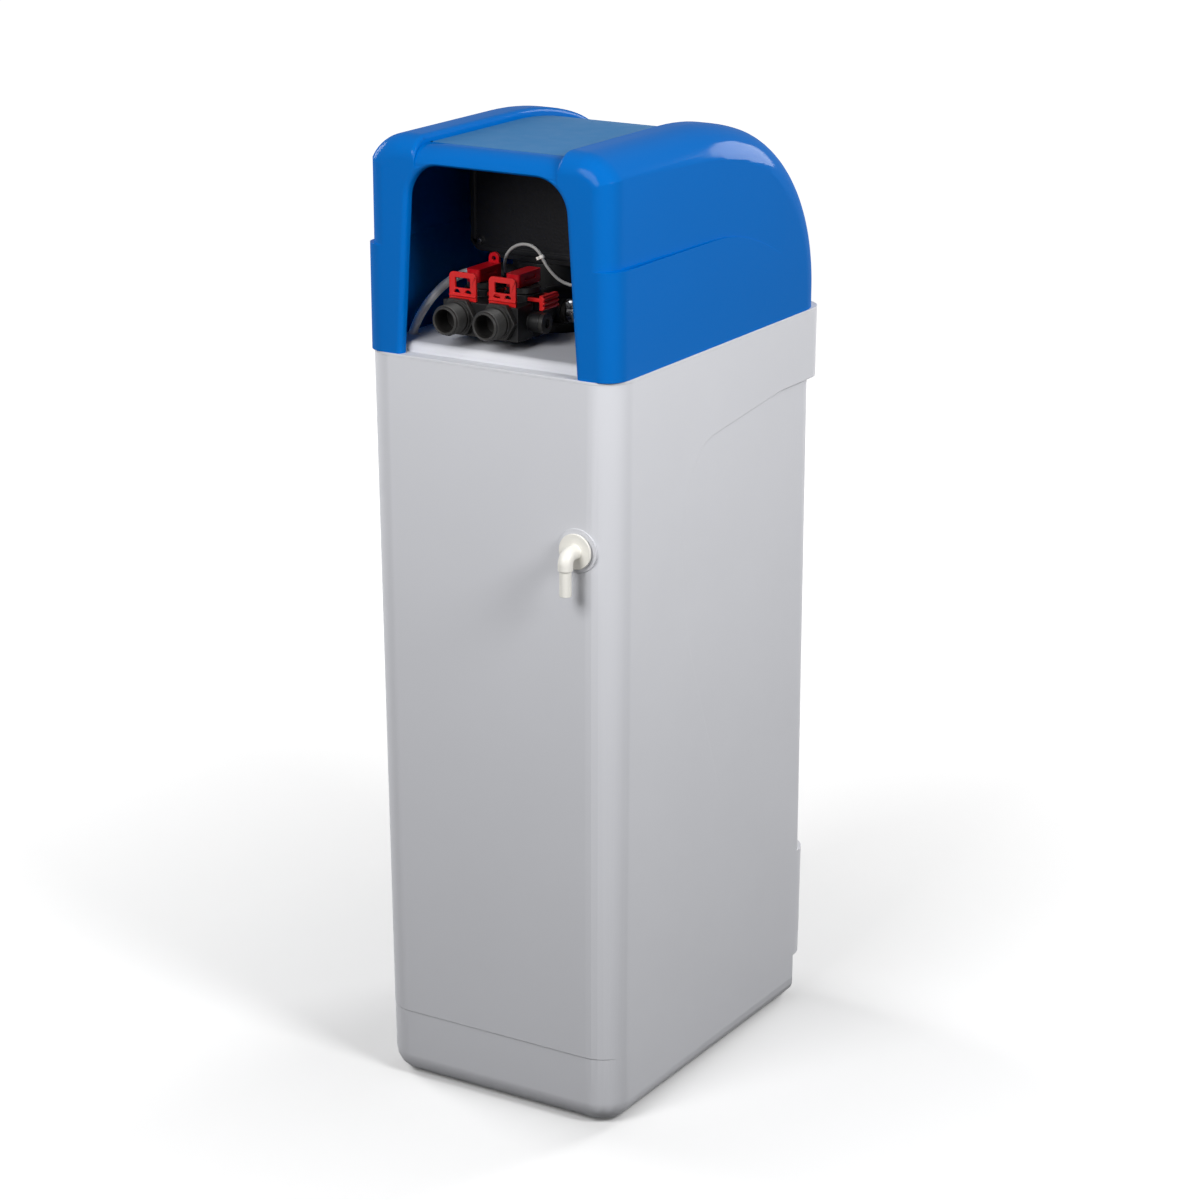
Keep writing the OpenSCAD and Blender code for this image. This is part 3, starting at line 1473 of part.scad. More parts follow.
module cable_tie() {
    lean = atan2(cable_lean[2], -cable_lean[0]);
    color(white) translate(tie_spot) rotate([0, lean, 0]) {
        rotate([0, 90, 0]) difference() {
            cylinder(h = 3.4, r = cable_r + 1.3, center = true);
            cylinder(h = 6, r = cable_r - 0.1, center = true);
        }
        translate([-1.7, -2.5, -cable_r - 4]) cube([3.4, 5, 2.8]);
    }
}

// Side fittings

module brine_elbow() {
    start = tube_route[0];
    away = unit(tube_route[1] - start);
    turn = atan2(away[1], away[0]);
    tilt = acos(away[2]);
    color(dark) difference() {
        union() {
            rod_x(brine_port_x, brine_port_y, brine_port_z, 4, side_boss_r + 1);
            translate(start) rotate([0, tilt, turn]) translate([0, 0, -3]) cylinder(h = 10, r = tube_r + 2.2);
        }
        translate(start) rotate([0, tilt, turn]) cylinder(h = 20, r = tube_r + 0.15);
        rod_x(brine_port_x - 20, brine_port_y, brine_port_z, 20, side_boss_r + 6);
    }
}

module brine_tube() {
    color(white) swept_tube(tube_route, tube_r, 12);
}

drain_len = 26;
drain_r = 8;
clamp_w = 8;
module drain_elbow() {
    color([0.5, 0.52, 0.54]) difference() {
        union() {
            rod_x(drain_port_x - 5, drain_port_y, drain_port_z, 5, side_boss_r + 1);
            rod_x(drain_port_x - drain_len, drain_port_y, drain_port_z, drain_len, drain_r);
            rod_x(drain_port_x, drain_port_y, drain_port_z, drain_socket - 1, drain_spigot_r);
        }
        rod_x(drain_port_x - drain_len - 1, drain_port_y, drain_port_z,
              drain_len + drain_socket + 1, drain_way_r);
    }
}

module drain_clamp() {
    band_x = drain_port_x - clamp_w - 6;
    color(steel) difference() {
        union() {
            rod_x(band_x, drain_port_y, drain_port_z, clamp_w, drain_r + 2.5);
            translate([band_x, drain_port_y + 3, drain_port_z + drain_r - 1]) cube([clamp_w, 7, 9]);
        }
        rod_x(band_x - 1, drain_port_y, drain_port_z, clamp_w + 2, drain_r + fit);
    }
}

cabinet_shell();
top_deck();
hood();
salt_lid();
resin_tank();
tank_foot();
riser_tube();
bottom_basket();
top_basket();
neck_seal();
brine_well();
well_cap();
pickup_tube();
brine_valve();
float_rod();
brine_float();
overflow_grommet();
overflow_elbow();
valve_body();
valve_bonnet();
seat_disc();
port_disc();
drive_shaft();
drive_gear();
drive_bracket();
drive_motor();
motor_pinion();
head_back_panel();
panel_screws();
head_cover();
circuit_board();
display_window();
key_1();
key_2();
key_3();
key_4();
bypass_body();
inlet_rotor();
outlet_rotor();
inlet_handle();
outlet_handle();
rotor_fork();
inlet_connector();
outlet_connector();
connector_seals();
inlet_clip();
outlet_clip();
bypass_plug();
meter_cage();
meter_turbine();
meter_sensor();
meter_cable();
cable_tie();
brine_elbow();
brine_tube();
drain_elbow();
drain_clamp();
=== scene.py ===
"""Dresses the water softener: finishes for its CAD nodes, finer copies of its fittings, and a studio."""

import logging
import math
from bisect import bisect_left
from dataclasses import dataclass
from enum import Enum
from typing import Iterable, NamedTuple, Sequence

import bpy
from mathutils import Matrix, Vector


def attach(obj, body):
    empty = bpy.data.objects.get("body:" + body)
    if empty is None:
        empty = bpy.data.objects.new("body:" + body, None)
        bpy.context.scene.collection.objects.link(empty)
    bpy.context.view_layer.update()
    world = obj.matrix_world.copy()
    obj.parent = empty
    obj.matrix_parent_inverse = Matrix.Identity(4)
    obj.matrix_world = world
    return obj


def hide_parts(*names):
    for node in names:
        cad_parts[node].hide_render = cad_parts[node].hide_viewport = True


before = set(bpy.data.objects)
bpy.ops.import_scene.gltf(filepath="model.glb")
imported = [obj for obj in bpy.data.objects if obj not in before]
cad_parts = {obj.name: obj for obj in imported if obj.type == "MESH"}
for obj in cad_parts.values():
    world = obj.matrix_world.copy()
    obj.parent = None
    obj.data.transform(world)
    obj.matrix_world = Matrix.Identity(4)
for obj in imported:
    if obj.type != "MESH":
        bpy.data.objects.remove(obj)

log = logging.getLogger("softener")
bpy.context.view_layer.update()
MM = 0.001
MERGE = 0.005 * MM
FLAT_DEG = 0.6
SHARP_DEG = 40.0
Colour = tuple[float, float, float]
Rgba = tuple[float, float, float, float]
Pair = tuple[float, float]
Point = tuple[float, float, float]
Stretch = tuple[Point, Point, Point, Point]
Obj = bpy.types.Object
Socket = bpy.types.NodeSocket
Inputs = dict[str | int, object]


class Body(str, Enum):
    """Bodies that new pieces ride on."""

    CABINET = "cabinet"
    HOOD = "hood"
    LID = "lid"
    INLET = "inlet_valve"
    OUTLET = "outlet_valve"
    OVERFLOW = "overflow"
    KEY_1 = "first_key"
    KEY_2 = "second_key"
    KEY_3 = "third_key"
    KEY_4 = "fourth_key"


class Slot(str, Enum):
    """Names of material slots that new pieces carry."""

    CABINET = "cabinet_grey"
    HOOD = "hood_blue"
    LID = "lid_blue"
    BLACK = "black_plastic"
    DARK = "dark_plastic"
    GRAINED = "grained_black"
    RED = "red_plastic"
    WHITE = "white_plastic"
    STEEL = "steel"
    KEY = "key_grey"
    TUBE = "tube_white"
    CABLE = "cable_grey"


class Stiffness(str, Enum):
    """How stiff a line is."""

    MEDIUM = "medium"
    STIFF = "stiff"


class Grain(Enum):
    """Kinds of relief that a moulding takes from its tool, as marks per metre."""

    SATIN = 900.0
    SPARK = 420.0
    PEEL = 45.0


def srgb(*channels: int) -> Colour:
    """Turns a screen colour into the linear values that a shader takes.

    Args:
        *channels: Red, green and blue from 0 to 255.

    Returns:
        The same colour in linear light.
    """
    def linear(v: float) -> float:
        """One channel in linear light."""
        return v / 12.92 if v <= 0.04045 else ((v + 0.055) / 1.055) ** 2.4
    return tuple(linear(c / 255) for c in channels)


def shade(colour: Colour, k: float) -> Rgba:
    """A colour made k times as light, with alpha."""
    return tuple(min(1.0, c * k) for c in colour) + (1.0,)


def grey(level: float) -> Rgba:
    """A grey of one level, with alpha."""
    return level, level, level, 1.0


class Tree:
    """A node tree, with one call that adds a node and fills its inputs."""

    def __init__(self, tree: bpy.types.NodeTree) -> None:
        """Takes the tree of a material or a world."""
        self.tree = tree

    def fill(self, socket: Socket, value: object) -> None:
        """Joins a socket to another one, or sets it to a uniform value.

        Args:
            socket: The input.
            value: An output, or the value.
        """
        if isinstance(value, Socket):
            self.tree.links.new(value, socket)
        else:
            socket.default_value = value

    def add(self, kind: str, inputs: Inputs | None = None, **settings: object) -> bpy.types.Node:
        """Adds a node.

        Args:
            kind: Blender's name of the node, without ShaderNode.
            inputs: A socket or a value for each input.
            **settings: Property names and values.

        Returns:
            The node.
        """
        node = self.tree.nodes.new("ShaderNode" + kind)
        for key, value in settings.items():
            setattr(node, key, value)
        for key, value in (inputs or {}).items():
            self.fill(node.inputs[key], value)
        return node

    def most(self, one: Socket, other: Socket) -> Socket:
        """The larger of two values."""
        return self.add("Math", {0: one, 1: other}, operation="MAXIMUM").outputs["Value"]

    def seen(self) -> Socket:
        """A value that is 1 for rays that show the background: seen straight, mirrored or through glass."""
        rays = self.add("LightPath").outputs
        return self.most(self.most(rays["Is Camera Ray"], rays["Is Glossy Ray"]),
                         rays["Is Transmission Ray"])


class Nodes(Tree):
    """A material's node tree, with short calls for what the finishes share."""

    FINE_DETAIL = 2.0
    NOISE_LOW = 0.3
    NOISE_HIGH = 0.7
    FLOW_LOW = 0.25
    FLOW_HIGH = 0.75
    EASE_SAMPLES = 8

    def __init__(self, name: str) -> None:
        """Starts a material with a Principled shader.

        Args:
            name: The material's name.
        """
        self.material = bpy.data.materials.new(name)
        self.material.use_nodes = True
        super().__init__(self.material.node_tree)
        self.shader = self.tree.nodes["Principled BSDF"]
        self.coords = self.add("TexCoord").outputs["Object"]

    def put(self, socket: str, value: object) -> None:
        """Joins an input of the shader to a socket, or sets it to a uniform value."""
        self.fill(self.shader.inputs[socket], value)

    def mapped(self, setting: str, value: Point) -> Socket:
        """Object coordinates with a Scale or a Rotation for each axis."""
        return self.add("Mapping", {"Vector": self.coords, setting: value}).outputs["Vector"]

    def noise(self, scale: float, detail: float = 3.0, stretch: Point = (1, 1, 1)) -> Socket:
        """A noise field in object space.

        Args:
            scale: Features per metre.
            detail: Octaves.
            stretch: Scale along each axis.

        Returns:
            The noise's value.
        """
        inputs = {"Scale": scale, "Detail": detail, "Vector": self.mapped("Scale", stretch)}
        return self.add("TexNoise", inputs).outputs["Fac"]

    def ramp(self, value: Socket, stops: Sequence[tuple[float, Rgba]]) -> Socket:
        """Colours a value by stops.

        Args:
            value: The value from 0 to 1.
            stops: Places and colours.

        Returns:
            The ramp's colour.
        """
        ramp = self.add("ValToRGB", {"Fac": value})
        ends = ramp.color_ramp.elements
        ends[0].position, ends[0].color = stops[0]
        ends[1].position, ends[1].color = stops[-1]
        for place, colour in stops[1:-1]:
            ends.new(place).color = colour
        return ramp.outputs["Color"]

    def tint(self, value: Socket, colour: Colour, low: Pair, high: Pair) -> None:
        """Colours the shader by a value, from a darker to a lighter shade.

        Args:
            value: The value from 0 to 1.
            colour: The middle colour.
            low: Where the darker shade lies, and how light it is.
            high: Where the lighter shade lies, and how light it is.
        """
        self.put("Base Color", self.ramp(value, [(at, shade(colour, k)) for at, k in (low, high)]))

    def remap(self, value: Socket, low: float, high: float) -> Socket:
        """Spreads a noise value between two numbers.

        Args:
            value: The noise.
            low: The lower number.
            high: The higher one.

        Returns:
            The spread value.
        """
        inputs = {"Value": value, "From Min": self.NOISE_LOW, "From Max": self.NOISE_HIGH,
                  "To Min": low, "To Max": high}
        return self.add("MapRange", inputs).outputs["Result"]

    def bump(self, height: Socket, depth: float, edge: float = 0.0) -> None:
        """Raises the shader's surface by a height field.

        Args:
            height: The height field.
            depth: Its full depth in metres.
            edge: Radius that sharp edges are eased by, if any.
        """
        inputs = {"Strength": 1.0, "Distance": depth, "Height": height}
        if edge:
            eased = self.add("Bevel", {"Radius": edge}, samples=self.EASE_SAMPLES)
            inputs["Normal"] = eased.outputs["Normal"]
        self.put("Normal", self.add("Bump", inputs).outputs["Normal"])


@dataclass(frozen=True)
class Finish:
    """A finish that pieces and nodes take: a linear colour, a roughness and a relief's depth in metres.

    Where it has a dark and a light shade, each is a place among the marks and how light it is there.
    """

    name: str
    colour: Colour
    rough: float = 0.35
    depth: float = 0.04 * MM

    def paint(self, n: Nodes) -> None:
        """Joins up the shader."""
        raise NotImplementedError

    def material(self) -> bpy.types.Material:
        """Builds the material.

        Returns:
            The material.
        """
        n = Nodes(self.name)
        self.paint(n)
        return n.material


@dataclass(frozen=True)
class Moulded(Finish):
    """A moulded plastic: one colour, faint flow marks, and the relief of its tool. A _scale is per metre.

    Attributes:
        coat: Weight of a clear gloss over it.
        edge: Radius that its edges are eased by, in metres.
        gloss: Level of its plain reflection.
        flow: How far the flow marks lighten and darken it.
        wear: How far the roughness strays.
    """

    rough: float = 0.45
    grain: Grain = Grain.SATIN
    coat: float = 0.0
    coat_rough: float = 0.1
    edge: float = 0.6 * MM
    gloss: float = 0.4
    flow: float = 0.02
    flow_scale: float = 6.0
    wear: float = 0.04
    wear_scale: float = 60.0

    def paint(self, n: Nodes) -> None:
        """Joins up the shader.

        Args:
            n: The material's nodes.
        """
        n.tint(n.noise(self.flow_scale), self.colour, (n.FLOW_LOW, 1 - self.flow),
               (n.FLOW_HIGH, 1 + self.flow))
        patches = n.noise(self.wear_scale)
        n.put("Roughness", n.remap(patches, self.rough - self.wear, self.rough + self.wear))
        n.put("Specular IOR Level", self.gloss)
        n.put("Coat Weight", self.coat)
        n.put("Coat Roughness", self.coat_rough)
        n.bump(n.noise(self.grain.value, n.FINE_DETAIL), self.depth, self.edge)


@dataclass(frozen=True)
class Plated(Finish):
    """A bright metal with so many fine drawing marks per metre, stretched along an axis, and eased edges."""

    rough: float = 0.28
    depth: float = 0.02 * MM
    marks: float = 120.0
    detail: float = 4.0
    along: Point = (1.0, 14.0, 1.0)
    dark: Pair = (0.3, 0.82)
    light: Pair = (0.7, 1.08)
    stray: Pair = (-0.08, 0.1)
    edge: float = 0.4 * MM

    def paint(self, n: Nodes) -> None:
        """Joins up the shader.

        Args:
            n: The material's nodes.
        """
        n.put("Metallic", 1.0)
        marks = n.noise(self.marks, self.detail, self.along)
        n.tint(marks, self.colour, self.dark, self.light)
        n.put("Roughness", n.remap(marks, *(self.rough + k for k in self.stray)))
        n.bump(marks, self.depth, self.edge)


@dataclass(frozen=True)
class Wound(Finish):
    """Glass roving wound under resin, in bands that lean either way and stray a little."""

    depth: float = 0.2 * MM
    lean_deg: float = 35.0
    bands: float = 28.0
    stray: float = 1.5
    dark: Pair = (0.2, 0.8)
    light: Pair = (0.9, 1.15)

    def layer(self, n: Nodes, lean: float) -> Socket:
        """One layer of bands.

        Args:
            n: The material's nodes.
            lean: How far the bands lean, in radians.

        Returns:
            The layer's height.
        """
        inputs = {"Scale": self.bands, "Distortion": self.stray,
                  "Vector": n.mapped("Rotation", (0.0, lean, lean))}
        return n.add("TexWave", inputs, bands_direction="Z").outputs["Fac"]

    def paint(self, n: Nodes) -> None:
        """Joins up the shader.

        Args:
            n: The material's nodes.
        """
        lean = math.radians(self.lean_deg)
        bands = n.most(self.layer(n, lean), self.layer(n, -lean))
        n.tint(bands, self.colour, self.dark, self.light)
        n.put("Roughness", self.rough)
        n.bump(bands, self.depth)


@dataclass(frozen=True)
class Milky(Finish):
    """Translucent white tube.

    Attributes:
        cloud: Weight of the light that goes into it, and cloud_depth how deep it goes, in metres.
        clouds: Lighter patches per metre.
        grain: Marks of the die per metre.
    """

    rough: float = 0.32
    depth: float = 0.05 * MM
    cloud: float = 0.1
    cloud_depth: float = 4 * MM
    clouds: float = 35.0
    grain: float = 160.0
    dark: Pair = (0.3, 0.93)
    light: Pair = (0.7, 1.03)

    def paint(self, n: Nodes) -> None:
        """Joins up the shader.

        Args:
            n: The material's nodes.
        """
        n.tint(n.noise(self.clouds), self.colour, self.dark, self.light)
        n.put("Roughness", self.rough)
        n.put("Subsurface Weight", self.cloud)
        n.put("Subsurface Radius", (self.cloud_depth,) * 3)
        n.bump(n.noise(self.grain, n.FINE_DETAIL), self.depth)


@dataclass(frozen=True)
class Printed(Finish):
    """A circuit board: solder mask over a grid of tracks, whose width is a share of the grid."""

    rough: float = 0.3
    depth: float = 0.03 * MM
    track: Colour = srgb(44, 128, 78)
    grid: float = 95.0
    track_w: float = 0.06
    second: float = 0.85

    def paint(self, n: Nodes) -> None:
        """Joins up the shader.

        Args:
            n: The material's nodes.
        """
        inputs = {"Scale": self.grid, "Mortar Size": self.track_w, "Mortar": shade(self.track, 1.0),
                  "Color1": shade(self.colour, 1.0), "Color2": shade(self.colour, self.second),
                  "Vector": n.mapped("Rotation", (math.pi / 2, 0.0, 0.0))}
        brick = n.add("TexBrick", inputs, offset=0.3, squash=1.4)
        n.put("Base Color", brick.outputs["Color"])
        n.put("Roughness", self.rough)
        n.bump(brick.outputs["Fac"], self.depth)


CABINET_GREY = Moulded("cabinet_grey", srgb(214, 215, 220), rough=0.5, depth=0.02 * MM, edge=1 * MM,
                       gloss=0.3, flow=0.012)
HOOD_BLUE = Moulded("hood_blue", srgb(0, 104, 189), rough=0.3, grain=Grain.PEEL, depth=0.008 * MM, coat=0.12,
                    edge=1 * MM, gloss=0.0, flow=0.015)
LID_BLUE = Moulded("lid_blue", srgb(61, 122, 175), rough=0.55, depth=0.02 * MM, edge=0.8 * MM,
                   gloss=0.03, flow=0.012)
BLACK = Moulded("black_moulding", srgb(20, 20, 21), rough=0.42, gloss=0.25)
CHARCOAL = Moulded("charcoal_moulding", srgb(36, 35, 34), rough=0.42, edge=0.4 * MM, gloss=0.3)
PANEL_BLACK = Moulded("grained_panel", srgb(27, 27, 29), rough=0.5, grain=Grain.SPARK, depth=0.6 * MM,
                      edge=1 * MM, gloss=0.15)
WHITE = Moulded("white_moulding", srgb(236, 234, 227), rough=0.38, depth=0.02 * MM)
RED = Moulded("red_moulding", srgb(208, 34, 34), rough=0.34, depth=0.02 * MM, edge=0.5 * MM, gloss=0.3)
HANDLE_RED = Moulded("handle_red", srgb(186, 6, 22), rough=0.34, depth=0.02 * MM, gloss=0.3)
RUBBER = Moulded("seal_rubber", srgb(26, 26, 26), rough=0.65, depth=0.05 * MM, edge=0.3 * MM)
CERAMIC = Moulded("lapped_ceramic", srgb(232, 228, 212), rough=0.18, grain=Grain.PEEL, depth=0.01 * MM,
                  edge=0.3 * MM)
LENS = Moulded("smoked_lens", srgb(22, 28, 30), rough=0.08, grain=Grain.PEEL, depth=0.01 * MM, coat=0.4,
               edge=0.5 * MM)
KEY_GREY = Moulded("key_grey", srgb(186, 188, 190), rough=0.5, edge=1 * MM)
CABLE_GREY = Moulded("cable_jacket", srgb(168, 167, 164), depth=0.02 * MM, edge=0.2 * MM, gloss=0.3)
STEEL = Plated("plated_steel", srgb(196, 198, 202))
DARK_STEEL = Plated("blacked_steel", srgb(70, 70, 72), rough=0.4)
TANK_BLUE = Wound("wound_tank", srgb(88, 108, 132))
TUBE_WHITE = Milky("milky_tube", srgb(252, 252, 249))
BOARD = Printed("board_mask", srgb(24, 96, 56))

NODE_FINISHES: dict[Finish, tuple[str, ...]] = {
    CABINET_GREY: ("cabinet_shell", "top_deck"),
    HOOD_BLUE: ("hood",),
    LID_BLUE: ("salt_lid",),
    TANK_BLUE: ("resin_tank",),
    BLACK: ("tank_foot", "valve_body", "valve_bonnet", "bypass_body", "meter_sensor"),
    CHARCOAL: ("drive_bracket", "head_cover", "inlet_rotor", "outlet_rotor", "inlet_connector",
               "outlet_connector", "bypass_plug", "brine_elbow", "drain_elbow"),
    PANEL_BLACK: ("head_back_panel",),
    WHITE: ("riser_tube", "bottom_basket", "top_basket", "brine_well", "well_cap", "pickup_tube",
            "brine_valve", "brine_float", "overflow_elbow", "drive_shaft", "drive_gear", "motor_pinion",
            "meter_cage", "meter_turbine", "cable_tie"),
    RED: ("rotor_fork", "inlet_clip", "outlet_clip"),
    HANDLE_RED: ("inlet_handle", "outlet_handle"),
    RUBBER: ("neck_seal", "overflow_grommet", "connector_seals"),
    CERAMIC: ("seat_disc", "port_disc"),
    STEEL: ("float_rod", "drive_motor", "panel_screws", "drain_clamp"),
    BOARD: ("circuit_board",),
    LENS: ("display_window",),
    KEY_GREY: ("key_1", "key_2", "key_3", "key_4"),
    CABLE_GREY: ("meter_cable",),
    TUBE_WHITE: ("brine_tube",),
}


class Finishes:
    """Each finish's material, made once."""

    made: dict[str, bpy.types.Material] = {}

    @classmethod
    def dress(cls, obj: Obj, finish: Finish) -> None:
        """Gives an object one finish all over.

        Args:
            obj: The object.
            finish: Its finish.
        """
        if finish.name not in cls.made:
            cls.made[finish.name] = finish.material()
        obj.data.materials.clear()
        obj.data.materials.append(cls.made[finish.name])


def clear() -> None:
    """Leaves edit mode and selects nothing."""
    if bpy.context.mode != "OBJECT":
        bpy.ops.object.mode_set(mode="OBJECT")
    bpy.ops.object.select_all(action="DESELECT")


def take(obj: Obj) -> None:
    """Selects one object alone and makes it the active one.

    Args:
        obj: The object.
    """
    clear()
    obj.select_set(True)
    bpy.context.view_layer.objects.active = obj


def edit(whole: bool = True) -> None:
    """Enters edit mode, with the whole mesh selected or with what was selected before.

    Args:
        whole: Whether the whole mesh is selected.
    """
    bpy.ops.object.mode_set(mode="EDIT")
    if whole:
        bpy.ops.mesh.select_all(action="SELECT")


def leave() -> None:
    """Goes back to object mode."""
    bpy.ops.object.mode_set(mode="OBJECT")


def seat(obj: Obj) -> None:
    """Moves an object's place into its mesh."""
    take(obj)
    bpy.ops.object.transform_apply(location=True, rotation=True, scale=True)


def turned(profile: Sequence[Pair], centre: Point, sides: int) -> Obj:
    """Turns a closed profile about a line along Y: a ring is extruded and resized from step to step.

    Args:
        profile: Radius and place along Y of each step, in metres; it closes on its first step.
        centre: A point on the line, where Y is 0 for the profile.
        sides: Sides of the ring.

    Returns:
        The turned object.
    """
    clear()
    x, middle, z = centre
    r, y = profile[0]
    bpy.ops.mesh.primitive_circle_add(vertices=sides, radius=r, rotation=(math.pi / 2, 0, 0),
                                      location=(x, middle + y, z))
    obj = bpy.context.object
    seat(obj)
    edit()
    for next_r, next_y in [*profile[1:], profile[0]]:
        bpy.ops.mesh.extrude_edges_move(TRANSFORM_OT_translate={"value": (0, next_y - y, 0)})
        k = next_r / r
        bpy.ops.transform.resize(value=(k, 1, k), center_override=(x, middle + next_y, z))
        r, y = next_r, next_y
    bpy.ops.mesh.select_all(action="SELECT")
    bpy.ops.mesh.remove_doubles(threshold=MERGE)
    bpy.ops.mesh.normals_make_consistent(inside=False)
    leave()
    return obj


def hexagon(radius: float, length: float, centre: Point, turn: float, edge: float, segments: int) -> Obj:
    """Models a hexagon along Y with rounded edges.

    Args:
        radius: Radius of its corners, in metres.
        length: Its length along Y.
        centre: Its middle.
        turn: Its turn about its own line, in radians.
        edge: Width of the rounds.
        segments: Steps of a round.

    Returns:
        The hexagon.
    """
    clear()
    bpy.ops.mesh.primitive_cylinder_add(vertices=6, radius=radius, depth=length, location=centre,
                                        rotation=(math.pi / 2, turn, 0))
    obj = bpy.context.object
    seat(obj)
    edit()
    bpy.ops.mesh.bevel(offset=edge, segments=segments, affect="EDGES")
    leave()
    return obj


def copy_of(node: str, whole: bool = True) -> Obj:
    """Copies a CAD node's mesh, merged.

    Args:
        node: The node's name.
        whole: Whether its flat faces are joined up.

    Returns:
        The copy.
    """
    obj = bpy.data.objects.new(node + "_finer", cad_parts[node].data.copy())
    bpy.context.scene.collection.objects.link(obj)
    take(obj)
    bpy.ops.mesh.customdata_custom_splitnormals_clear()
    edit(whole=False)
    bpy.ops.mesh.select_mode(type="VERT")
    bpy.ops.mesh.select_all(action="SELECT")
    bpy.ops.mesh.remove_doubles(threshold=MERGE)
    if whole:
        bpy.ops.mesh.dissolve_limited(angle_limit=math.radians(FLAT_DEG))
    bpy.ops.mesh.normals_make_consistent(inside=False)
    leave()
    return obj


def round_all(obj: Obj, width: float, segments: int) -> None:
    """Rounds every sharp edge.

    Args:
        obj: The piece.
        width: Width of the rounds, in metres.
        segments: Steps of a round.
    """
    bevel = obj.modifiers.new("round", "BEVEL")
    bevel.width = width
    bevel.segments = segments
    bevel.limit_method = "ANGLE"
    bevel.angle_limit = math.radians(SHARP_DEG)
    bevel.use_clamp_overlap = False
    bpy.ops.object.modifier_apply(modifier="round")


def round_long(obj: Obj, least: float, width: float, segments: int) -> None:
    """Rounds the long sharp edges that stand out.

    Args:
        obj: The piece.
        least: Shortest edge that is rounded, in metres.
        width: Width of the rounds.
        segments: Steps of a round.
    """
    mesh = obj.data
    faces: dict[tuple[int, int], list[bpy.types.MeshPolygon]] = {}
    for polygon in mesh.polygons:
        polygon.select = False
        for key in polygon.edge_keys:
            faces.setdefault(key, []).append(polygon)
    for vertex in mesh.vertices:
        vertex.select = False
    picked = 0
    for edge in mesh.edges:
        edge.select = False
        pair = faces.get(edge.key, [])
        if len(pair) != 2 or pair[0].normal.angle(pair[1].normal) < math.radians(SHARP_DEG):
            continue
        a, b = (mesh.vertices[k].co for k in edge.vertices)
        out = (pair[1].center - (a + b) / 2).dot(pair[0].normal) < 0
        edge.select = out and (a - b).length > least
        picked += edge.select
    take(obj)
    bpy.context.tool_settings.mesh_select_mode = (False, True, False)
    edit(whole=False)
    bpy.ops.mesh.bevel(offset=width, segments=segments, affect="EDGES", clamp_overlap=False)
    leave()
    log.info("%s: %d edges rounded", obj.name, picked)


def cut_box(obj: Obj, size: Point, place: Point, turn: float) -> None:
    """Cuts a box out of a piece.

    Args:
        obj: The piece.
        size: The box's sizes, in metres.
        place: Its middle.
        turn: Its turn about Y, in radians.
    """
    clear()
    bpy.ops.mesh.primitive_cube_add(size=1.0, location=place, rotation=(0, turn, 0))
    box = bpy.context.object
    box.scale = size
    seat(box)
    cut_by(obj, box)


def cut_by(obj: Obj, cutter: Obj) -> None:
    """Cuts a shape out of a piece and removes the shape.

    Args:
        obj: The piece.
        cutter: The shape.
    """
    take(obj)
    cut = obj.modifiers.new("cut", "BOOLEAN")
    cut.operation = "DIFFERENCE"
    cut.object = cutter
    bpy.ops.object.modifier_apply(modifier="cut")
    bpy.data.objects.remove(cutter)


def join(objs: Iterable[Obj]) -> Obj:
    """Seats objects and joins them into the first.

    Args:
        objs: The objects.

    Returns:
        The first object.
    """
    objs = list(objs)
    for obj in objs:
        seat(obj)
    clear()
    for obj in objs:
        obj.select_set(True)
    bpy.context.view_layer.objects.active = objs[0]
    bpy.ops.object.join()
    return objs[0]


@dataclass(kw_only=True)
class Piece:
    """A sub-assembly that is modelled, dressed, and set on the body it rides on.

    Attributes:
        slot: A material slot's name; not used.
        node: The CAD node that it stands for, if any.
        smooth_deg: Edges flatter than this are shaded smooth.
    """

    name: str
    body: Body = Body.CABINET
    slot: Slot
    finish: Finish
    node: str = ""
    smooth_deg: float = 32.0

    def model(self) -> Obj:
        """Models the piece."""
        raise NotImplementedError

    def smooth(self, obj: Obj) -> None:
        """Seats the mesh and shades its flat edges smooth.

        Args:
            obj: The piece's object.
        """
        seat(obj)
        bpy.ops.object.shade_smooth_by_angle(angle=math.radians(self.smooth_deg))
        even = obj.modifiers.new("even", "WEIGHTED_NORMAL")
        even.keep_sharp = True
        bpy.ops.object.modifier_apply(modifier="even")

    def dress(self, obj: Obj) -> None:
        """Gives the piece its finish, sets it on the body it rides on, and hides the CAD node that it stands
        for.

        Args:
            obj: The piece's object.
        """
        obj.name = self.name
        Finishes.dress(obj, self.finish)
        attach(obj, self.body.value)
        if self.node:
            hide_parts(self.node)
        log.info("%s: %s", self.name, self.body.value)

    def build(self) -> Obj:
        """Models the piece and dresses it.

        Returns:
            The piece's object.
        """
        obj = self.model()
        self.smooth(obj)
        self.dress(obj)
        return obj


@dataclass(kw_only=True)
class Rounded(Piece):
    """A finer copy of a CAD node, with its sharp edges rounded as its mould rounds them.

    Attributes:
        width: Width of the rounds, in metres, and segments their steps.
        least: Shortest edge that is rounded, in metres; at 0 all sharp edges are.
    """

    width: float
    segments: int = 3
    least: float = 0.0

    def model(self) -> Obj:
        """Models the copy.

        Returns:
            The copy.
        """
        obj = copy_of(self.node)
        if self.least:
            round_long(obj, self.least, self.width, self.segments)
        else:
            round_all(obj, self.width, self.segments)
        return obj


